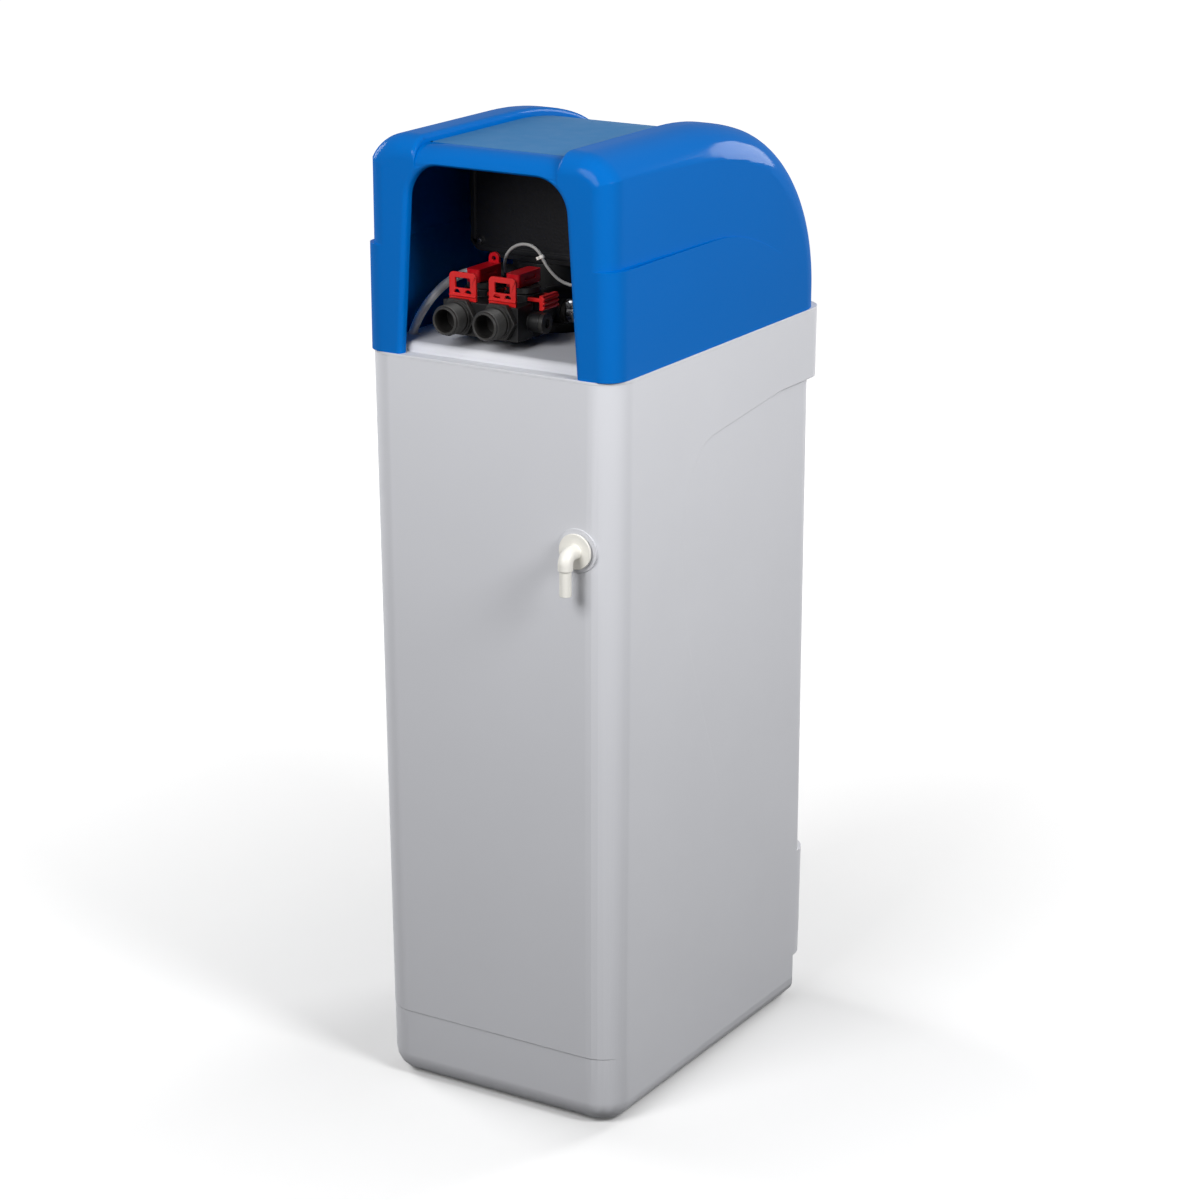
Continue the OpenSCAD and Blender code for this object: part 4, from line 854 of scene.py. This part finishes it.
@dataclass(kw_only=True)
class Cabinet(Piece):
    """The cabinet's shell, with the faint step above its foot.

    Attributes:
        step_z: Where the step lies, in metres, and step_h the height that it takes.
        step_in: How far the foot's front and rear stand back below it.
        half_d: Half the depth of the foot.
    """

    name: str = "cabinet_stepped"
    slot: Slot = Slot.CABINET
    finish: Finish = CABINET_GREY
    node: str = "cabinet_shell"
    smooth_deg: float = 24.0
    step_z: float = 83 * MM
    step_h: float = 0.8 * MM
    step_in: float = 0.6 * MM
    half_d: float = 226 * MM

    def model(self) -> Obj:
        """Cuts two lines round the foot and draws in what lies below them.

        Returns:
            The shell.
        """
        obj = copy_of(self.node, whole=False)
        edit(whole=False)
        for z in (self.step_z, self.step_z - self.step_h):
            bpy.ops.mesh.select_all(action="SELECT")
            bpy.ops.mesh.bisect(plane_co=(0, 0, z), plane_no=(0, 0, 1))
        bpy.ops.mesh.select_all(action="DESELECT")
        leave()
        for vertex in obj.data.vertices:
            vertex.select = vertex.co.z < self.step_z - self.step_h / 2
        bpy.context.tool_settings.mesh_select_mode = (True, False, False)
        edit(whole=False)
        bpy.ops.transform.resize(value=(1, 1 - self.step_in / self.half_d, 1), center_override=(0, 0, 0))
        leave()
        return obj


class Crest:
    """The line along the top of the hood's ridges, seen from the side."""

    def __init__(self, points: Iterable[Vector], middle_z: float) -> None:
        """Puts the line's points in order.

        Args:
            points: Points on the line.
            middle_z: Height of the point that the line runs round, in metres.
        """
        self.middle_z = middle_z
        self.points = sorted(points, key=self.bearing)
        self.marks = [self.bearing(p) for p in self.points]

    def bearing(self, place: Vector) -> float:
        """Direction of a place from the middle."""
        return math.atan2(place.z - self.middle_z, place.y)

    def distance(self, place: Vector) -> float:
        """Distance of a place from the line.

        Args:
            place: The place.

        Returns:
            The distance in metres.
        """
        k = min(max(bisect_left(self.marks, self.bearing(place)), 1), len(self.points) - 1)
        a, b = (Vector((p.y, p.z)) for p in self.points[k - 1:k + 1])
        along = (b - a).normalized() if (b - a).length > 0 else Vector((1, 0))
        apart = Vector((place.y, place.z)) - a
        return (apart - along * apart.dot(along)).length


@dataclass(kw_only=True)
class Hood(Piece):
    """The hood, with the rounded edges of its window and of its two ridges.

    Lengths are in metres: _x is half a width, _y and _z are places, _h is a height and _r a radius.

    Attributes:
        below: How far the window's cutter reaches below the hood.
        lip: Round of the window's edge.
        proud: How far the cutter starts outside the rear face.
        play: How far the cutter stays inside the window behind the round.
        ridge_cuts: Where lines are cut along a ridge, as shares of its round.
        lowered: Shares of the round between which points are lowered.
        fall: Largest share of the groove's depth that the round takes.
        near: Points this close to the crest's plane lie on it.
        off: Points farther than this from the crest stay.
        middle_z: Height of a point inside, which the outer skin faces away from.
    """

    name: str = "hood_rounded"
    body: Body = Body.HOOD
    slot: Slot = Slot.HOOD
    finish: Finish = HOOD_BLUE
    node: str = "hood"
    rear_y: float = 232.5 * MM
    ridge_x: float = 88 * MM
    low_z: float = 853 * MM
    foot_x: float = 110 * MM
    head_x: float = 96 * MM
    window_h: float = 206 * MM
    corner_r: float = 38 * MM
    corner_steps: int = 14
    below: float = 12 * MM
    lip: float = 6 * MM
    lip_steps: int = 6
    proud: float = 3 * MM
    play: float = 0.02 * MM
    ridge_round: float = 6 * MM
    ridge_cuts: tuple[float, ...] = (0.06, 0.18, 0.36, 0.6, 1.0)
    lowered: Pair = (-0.002, 0.999)
    groove: float = 9 * MM
    fall: float = 0.85
    near: float = 0.01 * MM
    off: float = 0.3 * MM
    middle_z: float = 870 * MM

    def outline(self, out: float) -> list[Pair]:
        """The window's outline, drawn outwards.

        Args:
            out: How far it is drawn outwards, in metres.

        Returns:
            The outline's points as x and z, open at its foot.
        """
        lean = math.atan((self.foot_x - self.head_x) / self.window_h)
        mid_z = self.low_z + self.window_h - self.corner_r
        mid_x = self.foot_x - (mid_z - self.low_z) * math.tan(lean) - self.corner_r / math.cos(lean)
        foot = (self.foot_x + self.below * math.tan(lean) + out / math.cos(lean), self.low_z - self.below)
        r = self.corner_r + out
        turns = [lean + (math.pi / 2 - lean) * k / self.corner_steps for k in range(self.corner_steps + 1)]
        half = [foot] + [(mid_x + r * math.cos(t), mid_z + r * math.sin(t)) for t in turns]
        return half + [(-x, z) for x, z in reversed(half)]

    def flare(self) -> Obj:
        """Models the plug that rounds the window's edge: its outline, extruded in narrowing steps.

        Returns:
            The plug.
        """
        r = self.lip
        turns = [math.radians(90 * k / self.lip_steps) for k in range(self.lip_steps + 1)]
        before, deep = self.outline(r), -self.proud
        clear()
        bpy.ops.mesh.primitive_circle_add(vertices=len(before), radius=1.0, fill_type="NGON")
        obj = bpy.context.object
        for vertex, (x, z) in zip(obj.data.vertices, before):
            vertex.co = (x, self.rear_y - deep, z)
        for turn in turns:
            depth = r * (1 - math.cos(turn))
            edit(whole=False)
            bpy.ops.mesh.extrude_region_move(TRANSFORM_OT_translate={"value": (0, deep - depth, 0)})
            leave()
            after = self.outline(r * (1 - math.sin(turn)) - self.play)
            for vertex in (v for v in obj.data.vertices if v.select):
                gaps = [abs(x - vertex.co.x) + abs(z - vertex.co.z) for x, z in before]
                vertex.co.x, vertex.co.z = after[gaps.index(min(gaps))]
            before, deep = after, depth
        edit()
        bpy.ops.mesh.normals_make_consistent(inside=False)
        leave()
        return obj

    def round_ridges(self, obj: Obj) -> None:
        """Rounds the ridges' inner edges: cuts lines along them and lowers the lines by a quarter round.

        Args:
            obj: The hood.
        """
        r = self.ridge_round
        low, high = self.lowered
        edit(whole=False)
        for side in (1, -1):
            for share in self.ridge_cuts:
                bpy.ops.mesh.select_all(action="SELECT")
                bpy.ops.mesh.bisect(plane_co=(side * (self.ridge_x + share * r), 0, 0), plane_no=(1, 0, 0))
        leave()
        mesh = obj.data
        normals = [Vector((0, n.vector.y, n.vector.z)).normalized() for n in mesh.vertex_normals]
        skin = [v for v in mesh.vertices
                if normals[v.index].dot(Vector((0, v.co.y, v.co.z - self.middle_z))) > 0]
        crest = Crest((v.co.copy() for v in skin if abs(abs(v.co.x) - self.ridge_x - r) < self.near),
                      self.middle_z)
        moves: list[tuple[bpy.types.MeshVertex, Vector]] = []
        for vertex in skin:
            share = (abs(vertex.co.x) - self.ridge_x) / r
            if not low < share < high or crest.distance(vertex.co) > self.off:
                continue
            normal = normals[vertex.index]
            deep = self.groove * (normal.z if normal.y > 0 else 1.0)
            drop = min(r, self.fall * max(deep, 0.0)) * (1 - math.sqrt(max(0.0, 1 - (1 - share) ** 2)))
            moves.append((vertex, -drop * normal))
        for vertex, move in moves:
            vertex.co += move
        log.info("%s: %d points lowered along the ridges", obj.name, len(moves))

    def model(self) -> Obj:
        """Models the hood from its CAD mesh.

        Returns:
            The hood.
        """
        obj = copy_of(self.node, whole=False)
        self.round_ridges(obj)
        cut_by(obj, self.flare())
        return obj


@dataclass(kw_only=True)
class PanelScrews(Piece):
    """The back panel's four pan-head screws, each with a cross recess.

    Lengths are in metres: _r is a radius, _t a height, _w a width and _d a depth.

    Attributes:
        head_curve: A head's outline, as shares of its radius and height.
        tip: Radius of a shank's tip, as a share of the shank's.
        point_r: Radius that an end closes on.
        recess_d: Depth of the recess's cutter, half of it inside the head.
        recess_len: Length of the recess, as a share of the head's radius.
    """

    name: str = "panel_screws_crossed"
    slot: Slot = Slot.STEEL
    finish: Finish = DARK_STEEL
    node: str = "panel_screws"
    spots: Sequence[Pair] = tuple((x * MM, z * MM) for x in (-43, 103) for z in (951.8, 1038.2))
    seat_y: float = 88 * MM
    head_r: float = 3.6 * MM
    head_t: float = 2 * MM
    head_curve: Sequence[Pair] = ((0.5, 0.97), (0.8, 0.82), (0.95, 0.55), (1, 0.2), (1, 0))
    shank_r: float = 2 * MM
    shank_len: float = 12 * MM
    tip: float = 0.3
    point_r: float = 0.05 * MM
    recess_w: float = 0.9 * MM
    recess_d: float = 2.4 * MM
    recess_len: float = 1.25
    sides: int = 32

    def screw(self) -> Obj:
        """Models one screw at the origin of x and z.

        Returns:
            The screw.
        """
        r, t, shank = self.head_r, self.head_t, self.shank_r
        head = [(self.point_r, t)] + [(a * r, b * t) for a, b in self.head_curve]
        body = [(shank, 0), (shank, shank - self.shank_len), (self.tip * shank, -self.shank_len),
                (self.point_r, -self.shank_len)]
        obj = turned(head + body, (0, self.seat_y, 0), self.sides)
        for turn in (0.0, math.pi / 2):
            size = (self.recess_w, self.recess_d, self.recess_len * r)
            cut_box(obj, size, (0, self.seat_y + t, 0), turn)
        return obj

    def model(self) -> Obj:
        """Models the four screws.

        Returns:
            The screws in one object.
        """
        first = self.screw()
        screws = []
        for x, z in self.spots:
            obj = bpy.data.objects.new("screw", first.data.copy())
            obj.location = (x, 0, z)
            bpy.context.scene.collection.objects.link(obj)
            screws.append(obj)
        bpy.data.objects.remove(first)
        return join(screws)


@dataclass(kw_only=True)
class ClampScrew(Piece):
    """The worm screw in the drain clamp's housing, with a hexagon head and a slot.

    Attributes:
        place: The head's seat, in metres; the screw runs along Y.
        sunk: How far the head lies in it.
    """

    name: str = "clamp_screw"
    slot: Slot = Slot.STEEL
    finish: Finish = STEEL
    place: Point = (-26 * MM, 110 * MM, 900.6 * MM)
    head_r: float = 3.2 * MM
    head_t: float = 3.4 * MM
    sunk: float = 0.2 * MM
    edge: float = 0.35 * MM
    slot_size: Point = (0.8 * MM, 2 * MM, 8 * MM)
    slot_turn: float = 0.5

    def model(self) -> Obj:
        """Models the screw's head.

        Returns:
            The head.
        """
        x, y, z = self.place
        middle = (x, y + self.head_t / 2 - self.sunk, z)
        obj = hexagon(self.head_r, self.head_t, middle, turn=0, edge=self.edge, segments=2)
        cut_box(obj, self.slot_size, (x, y + self.head_t, z), self.slot_turn)
        return obj


@dataclass(kw_only=True)
class PipeConnector(Piece):
    """A pipe connector: hexagon collar, grooved ring and a cut pipe thread.

    Lengths are in metres: _y is a place along Y, _r a radius, _t a thickness and _edge a round or chamfer.

    Attributes:
        lap: How far the barrel reaches into the collar.
        ring_proud: How far the grooved ring stands over the thread.
        groove_wall: Length that a groove's wall takes, and groove_flat that of its floor.
        inner_step: Length of the step between the two bores.
        thread_wide: Half the width of the thread's foot, as a share of the pitch.
        thread_sunk: How far the thread's foot lies in the barrel.
        thread_gap: Room between the ring and the thread, and thread_end between it and the open end.
    """

    slot: Slot = Slot.DARK
    finish: Finish = CHARCOAL
    x: float
    z: float = 895 * MM
    inner_y: float = 178 * MM
    collar_y: float = 198 * MM
    collar_t: float = 7 * MM
    collar_r: float = 22 * MM
    collar_edge: float = 0.9 * MM
    lap: float = 1 * MM
    ring_t: float = 4 * MM
    ring_proud: float = 1.2 * MM
    ring_edge: float = 0.4 * MM
    grooves: int = 2
    groove_deep: float = 0.7 * MM
    groove_wall: float = 0.2 * MM
    groove_flat: float = 0.5 * MM
    end_y: float = 230 * MM
    end_edge: float = 1.2 * MM
    major_r: float = 16.62 * MM
    minor_r: float = 15.2 * MM
    bore_r: float = 12.4 * MM
    bore_edge: float = 0.8 * MM
    inner_r: float = 10.8 * MM
    inner_step: float = 0.1 * MM
    spigot_r: float = 13.9 * MM
    pitch: float = 2.309 * MM
    thread_wide: float = 0.46
    thread_sunk: float = 0.3 * MM
    thread_gap: float = 1.3 * MM
    thread_end: float = 1.6 * MM
    thread_steps: int = 48
    sides: int = 64

    def barrel(self) -> Obj:
        """The turned spigot and barrel with its bore.

        Returns:
            The barrel.
        """
        start, end, lapped = self.inner_y, self.end_y, self.collar_y + self.lap
        ring = self.collar_y + self.collar_t
        ring_end = ring + self.ring_t
        ring_r = self.major_r + self.ring_proud
        floor_r = ring_r - self.groove_deep
        steps = [(self.spigot_r, start), (self.spigot_r, lapped), (ring_r, lapped)]
        for k in range(self.grooves):
            y = ring + k * self.ring_t / self.grooves
            floor_y = y + self.groove_wall
            floor_end = floor_y + self.groove_flat
            steps += [(ring_r, y), (floor_r, floor_y), (floor_r, floor_end),
                      (ring_r, floor_end + self.groove_wall)]
        steps += [(ring_r, ring_end - self.ring_edge), (ring_r - self.ring_edge, ring_end),
                  (self.minor_r, ring_end), (self.minor_r, end - self.end_edge),
                  (self.minor_r - self.end_edge, end), (self.bore_r + self.bore_edge, end),
                  (self.bore_r, end - self.bore_edge), (self.bore_r, lapped),
                  (self.inner_r, lapped - self.inner_step), (self.inner_r, start)]
        return turned(steps, (self.x, 0, self.z), self.sides)

    def collar(self) -> Obj:
        """The hexagon, with its corners turned down."""
        middle = (self.x, self.collar_y + self.collar_t / 2, self.z)
        return hexagon(self.collar_r, self.collar_t, middle, math.pi / 6, self.collar_edge, segments=3)

    def thread(self) -> Obj:
        """The thread's ridge: a triangle carried round and along the barrel.

        Returns:
            The ridge.
        """
        clear()
        radius = 1 * MM
        start = self.collar_y + self.collar_t + self.ring_t + self.thread_gap
        bpy.ops.mesh.primitive_circle_add(vertices=3, radius=radius, fill_type="NOTHING")
        obj = bpy.context.object
        wide = (self.major_r - self.minor_r + self.thread_sunk) / (1.5 * radius)
        tall = self.pitch * self.thread_wide / (radius * math.sin(math.pi / 3))
        edit()
        bpy.ops.transform.rotate(value=math.pi / 2, orient_axis="Z", center_override=(0, 0, 0))
        bpy.ops.transform.resize(value=(wide, tall, 1), center_override=(0, 0, 0))
        leave()
        apex = max(obj.data.vertices, key=lambda v: abs(v.co.x)).co.x
        edit(whole=False)
        if apex < 0:
            bpy.ops.transform.rotate(value=math.pi, orient_axis="Z", center_override=(0, 0, 0))
        bpy.ops.transform.translate(value=(self.major_r - abs(apex), 0, 0))
        leave()
        turns = int((self.end_y - self.thread_end - start) / self.pitch)
        screw = obj.modifiers.new("thread", "SCREW")
        screw.axis = "Y"
        screw.angle = 2 * math.pi * turns
        screw.screw_offset = self.pitch * turns
        screw.steps = screw.render_steps = self.thread_steps * turns
        bpy.ops.object.modifier_apply(modifier="thread")
        edit()
        bpy.ops.transform.translate(value=(self.x, start, self.z))
        bpy.ops.mesh.fill_holes(sides=0)
        bpy.ops.mesh.normals_make_consistent(inside=False)
        leave()
        return obj

    def model(self) -> Obj:
        """Models the connector from its three forms."""
        return join([self.barrel(), self.collar(), self.thread()])


@dataclass(kw_only=True)
class Line(Piece):
    """A tube or cable that is held at both ends, drawn as one smooth curve.

    Attributes:
        stretches: Its centre line in millimetres, as Bezier stretches of four points that meet end to end.
        radius: Its radius in metres.
        steps: Steps of one stretch.
    """

    stretches: Sequence[Stretch]
    radius: float
    stiffness: Stiffness
    sides: int = 6
    steps: int = 24

    def model(self) -> Obj:
        """Draws the curve.

        Returns:
            The curve's object.
        """
        data = bpy.data.curves.new(self.name, "CURVE")
        data.dimensions = "3D"
        data.bevel_depth = self.radius
        data.bevel_resolution = self.sides
        data.use_fill_caps = True
        data.resolution_u = self.steps
        spline = data.splines.new("BEZIER")
        spline.bezier_points.add(len(self.stretches))
        first, last = self.stretches[0], self.stretches[-1]
        lefts = [first[0]] + [s[2] for s in self.stretches]
        places = [s[0] for s in self.stretches] + [last[3]]
        rights = [s[1] for s in self.stretches] + [last[3]]
        for knot, left, place, right in zip(spline.bezier_points, lefts, places, rights):
            knot.handle_left_type = knot.handle_right_type = "FREE"
            knot.co, knot.handle_left, knot.handle_right = (Vector(p) * MM for p in (place, left, right))
        obj = bpy.data.objects.new(self.name, data)
        bpy.context.scene.collection.objects.link(obj)
        return obj

    def smooth(self, obj: Obj) -> None:
        """Leaves the curve as it is, which is smooth already."""

    def dress(self, obj: Obj) -> None:
        """Dresses the curve, and logs how long it is.

        Args:
            obj: The curve's object.
        """
        super().dress(obj)
        length = obj.data.splines[0].calc_length(resolution=64)
        tuple(c * MM for c in self.stretches[0][0])
        log.info("%s: %.3f m", self.name, length)


class Lamp(NamedTuple):
    """A round lamp: its name, place and aim, its size in metres and its power in watts."""

    name: str
    place: Point
    aim: Point
    size: float
    power: float


@dataclass
class Studio:
    """Camera, lamps, floor and background.

    Attributes:
        eye: The camera's place, in metres, and aim what it looks at.
        lens: Focal length in millimetres for the sensor's width.
        dim: Strength of the world for rays that don't show it.
        reach: Half the floor's width, where its lift ends.
        floor_dim: The floor's grey for rays that don't show it, and floor_pale where it is seen.
        lift: How much the seen floor is lifted to white at each distance from the middle.
    """

    eye: Point = (-1.8461, 3.0118, 1.6608)
    aim: Point = (0.247, -0.398, 0.383)
    lens: float = 97.65
    sensor: float = 36.0
    sight: float = 60.0
    lamps: tuple[Lamp, ...] = (
        Lamp("key", (0.2, 2.0, 1.9), (0.0, 0.2, 0.7), 1.2, 34.0),
        Lamp("side", (-1.8, 0.6, 1.75), (0.0, 0.0, 0.7), 0.7, 32.0),
        Lamp("front", (-0.9, -2.8, 1.7), (0.0, 0.0, 0.6), 1.2, 48.0),
        Lamp("far", (2.7, -0.3, 1.7), (0.0, 0.0, 0.6), 1.2, 40.0))
    dim: float = 0.07
    reach: float = 12.0
    floor_dim: float = 0.1
    floor_pale: float = 0.8
    floor_rough: float = 0.9
    lift: tuple[Pair, ...] = (
        (0.3, 0.1), (0.6, 0.2), (1.0, 0.3), (2.0, 0.58), (3.0, 0.84), (6.0, 1.0), (12.0, 1.0))

    @staticmethod
    def place(name: str, data: bpy.types.ID, at: Point, aim: Point) -> Obj:
        """Sets up a camera or a lamp at a place, pointed at an aim.

        Args:
            name: Its name.
            data: The camera or the lamp.
            at: The place.
            aim: The aim.

        Returns:
            Its object.
        """
        obj = bpy.data.objects.new(name, data)
        obj.location = at
        obj.rotation_euler = (Vector(aim) - Vector(at)).to_track_quat("-Z", "Y").to_euler()
        bpy.context.scene.collection.objects.link(obj)
        return obj

    def camera(self) -> None:
        """Places the camera."""
        data = bpy.data.cameras.new("camera")
        data.lens = self.lens
        data.sensor_width = self.sensor
        data.clip_end = self.sight
        bpy.context.scene.camera = self.place("camera", data, self.eye, self.aim)

    def light(self) -> None:
        """Places the lamps."""
        for lamp in self.lamps:
            data = bpy.data.lights.new(lamp.name, "AREA")
            data.shape = "DISK"
            data.size = lamp.size
            data.energy = lamp.power
            self.place(lamp.name, data, lamp.place, lamp.aim)

    def world(self) -> None:
        """Sets a world that is white where it is seen and lights little."""
        world = bpy.data.worlds.new("studio")
        bpy.context.scene.world = world
        world.use_nodes = True
        tree = Tree(world.node_tree)
        level = tree.add("MapRange", {"Value": tree.seen(), "To Min": self.dim, "To Max": 1.0})
        background = tree.tree.nodes["Background"].inputs
        tree.fill(background["Color"], grey(1.0))
        tree.fill(background["Strength"], level.outputs["Result"])

    def floor(self) -> None:
        """Lays a pale floor that keeps the shadow and turns white far away."""
        clear()
        bpy.ops.mesh.primitive_plane_add(size=2 * self.reach, location=(0, 0, 0))
        floor = bpy.context.object
        floor.name = "floor"
        n = Nodes("floor")
        n.put("Roughness", self.floor_rough)
        n.put("Specular IOR Level", 0.0)
        n.put("Emission Color", grey(1.0))
        seen = n.seen()
        n.put("Base Color", n.ramp(seen, [(0.0, grey(self.floor_dim)), (1.0, grey(self.floor_pale))]))
        far = n.add("VectorMath", {0: n.coords}, operation="LENGTH").outputs["Value"]
        share = n.add("Math", {0: far, 1: self.reach}, operation="DIVIDE").outputs["Value"]
        lift = n.ramp(share, [(at / self.reach, grey(level)) for at, level in self.lift])
        n.put("Emission Strength", n.add("Math", {0: lift, 1: seen}, operation="MULTIPLY").outputs["Value"])
        floor.data.materials.append(n.material)


def dress_nodes() -> None:
    """Gives each CAD node its finish."""
    for finish, names in NODE_FINISHES.items():
        for name in names:
            Finishes.dress(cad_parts[name], finish)
            log.info("%s: %s", name, finish.name)


def rounded(node: str, body: Body, slot: Slot, finish: Finish, width: float, segments: int = 3,
            least: float = 0.0) -> Rounded:
    """A rounded copy that is named after its CAD node, from the fields of Rounded."""
    return Rounded(name=node + "_rounded", node=node, body=body, slot=slot, finish=finish, width=width,
                   segments=segments, least=least)


BRINE_ROUTE: list[Stretch] = [
    ((82, 86, 918), (115.12, 107.16, 931.8), (117.96, 171.88, 907.7), (129, 182, 864)),
    ((129, 182, 864), (145.8, 197.4, 797.5), (-84, 158, 851.5), (-84, 158, 778)),
    ((-84, 158, 778), (-84, 158, 773), (-84, 158, 769), (-84, 158, 764))]
CABLE_ROUTE: list[Stretch] = [
    ((55.2, 108, 919), (55.2, 108, 921), (55.2, 108, 923), (55.2, 108, 925)),
    ((55.2, 108, 925), (61.7, 117.1, 954.9), (13.212, 124.932, 976.74), (1.2, 121.5, 951)),
    ((1.2, 121.5, 951), (-8.628, 118.692, 929.94), (-17.3, 107.51, 920), (-29, 104, 920)),
    ((-29, 104, 920), (-43.3, 99.71, 920), (-34, 104.8, 963), (-34, 84, 963))]
LINES: list[Line] = [
    Line(name="brine_line", node="brine_tube", stretches=BRINE_ROUTE, radius=4.75 * MM, finish=TUBE_WHITE,
         slot=Slot.TUBE, stiffness=Stiffness.STIFF),
    Line(name="meter_lead", node="meter_cable", stretches=CABLE_ROUTE, radius=1.8 * MM, finish=CABLE_GREY,
         slot=Slot.CABLE, stiffness=Stiffness.MEDIUM)]
PIECES: list[Piece] = [
    Cabinet(),
    Hood(),
    rounded("inlet_handle", Body.INLET, Slot.RED, HANDLE_RED, 1.2 * MM, 4, least=5 * MM),
    rounded("outlet_handle", Body.OUTLET, Slot.RED, HANDLE_RED, 1.2 * MM, 4, least=5 * MM),
    rounded("inlet_clip", Body.CABINET, Slot.RED, RED, 0.6 * MM),
    rounded("outlet_clip", Body.CABINET, Slot.RED, RED, 0.6 * MM),
    rounded("rotor_fork", Body.CABINET, Slot.RED, RED, 0.8 * MM),
    rounded("bypass_body", Body.CABINET, Slot.BLACK, BLACK, 0.8 * MM),
    rounded("drain_clamp", Body.CABINET, Slot.STEEL, STEEL, 0.4 * MM),
    rounded("head_back_panel", Body.CABINET, Slot.GRAINED, PANEL_BLACK, 1.2 * MM, 4),
    rounded("salt_lid", Body.LID, Slot.LID, LID_BLUE, 1.2 * MM),
    rounded("overflow_elbow", Body.OVERFLOW, Slot.WHITE, WHITE, 0.7 * MM),
    rounded("bypass_plug", Body.CABINET, Slot.DARK, CHARCOAL, 0.6 * MM),
    rounded("head_cover", Body.CABINET, Slot.DARK, CHARCOAL, 0.8 * MM),
    *(rounded(f"key_{k}", body, Slot.KEY, KEY_GREY, 0.7 * MM)
      for k, body in enumerate((Body.KEY_1, Body.KEY_2, Body.KEY_3, Body.KEY_4), 1)),
    PanelScrews(),
    ClampScrew(),
    PipeConnector(name="inlet_connector_threaded", node="inlet_connector", x=55.2 * MM),
    PipeConnector(name="outlet_connector_threaded", node="outlet_connector", x=4.8 * MM)]


def main() -> None:
    """Builds the scene."""
    logging.basicConfig(level=logging.INFO, format="%(message)s")
    studio = Studio()
    studio.camera()
    for line in LINES:
        line.build()
    dress_nodes()
    for piece in PIECES:
        piece.build()
    studio.light()
    studio.world()
    studio.floor()
    bpy.context.scene.view_settings.view_transform = "Standard"


if __name__ == "__main__":
    main()
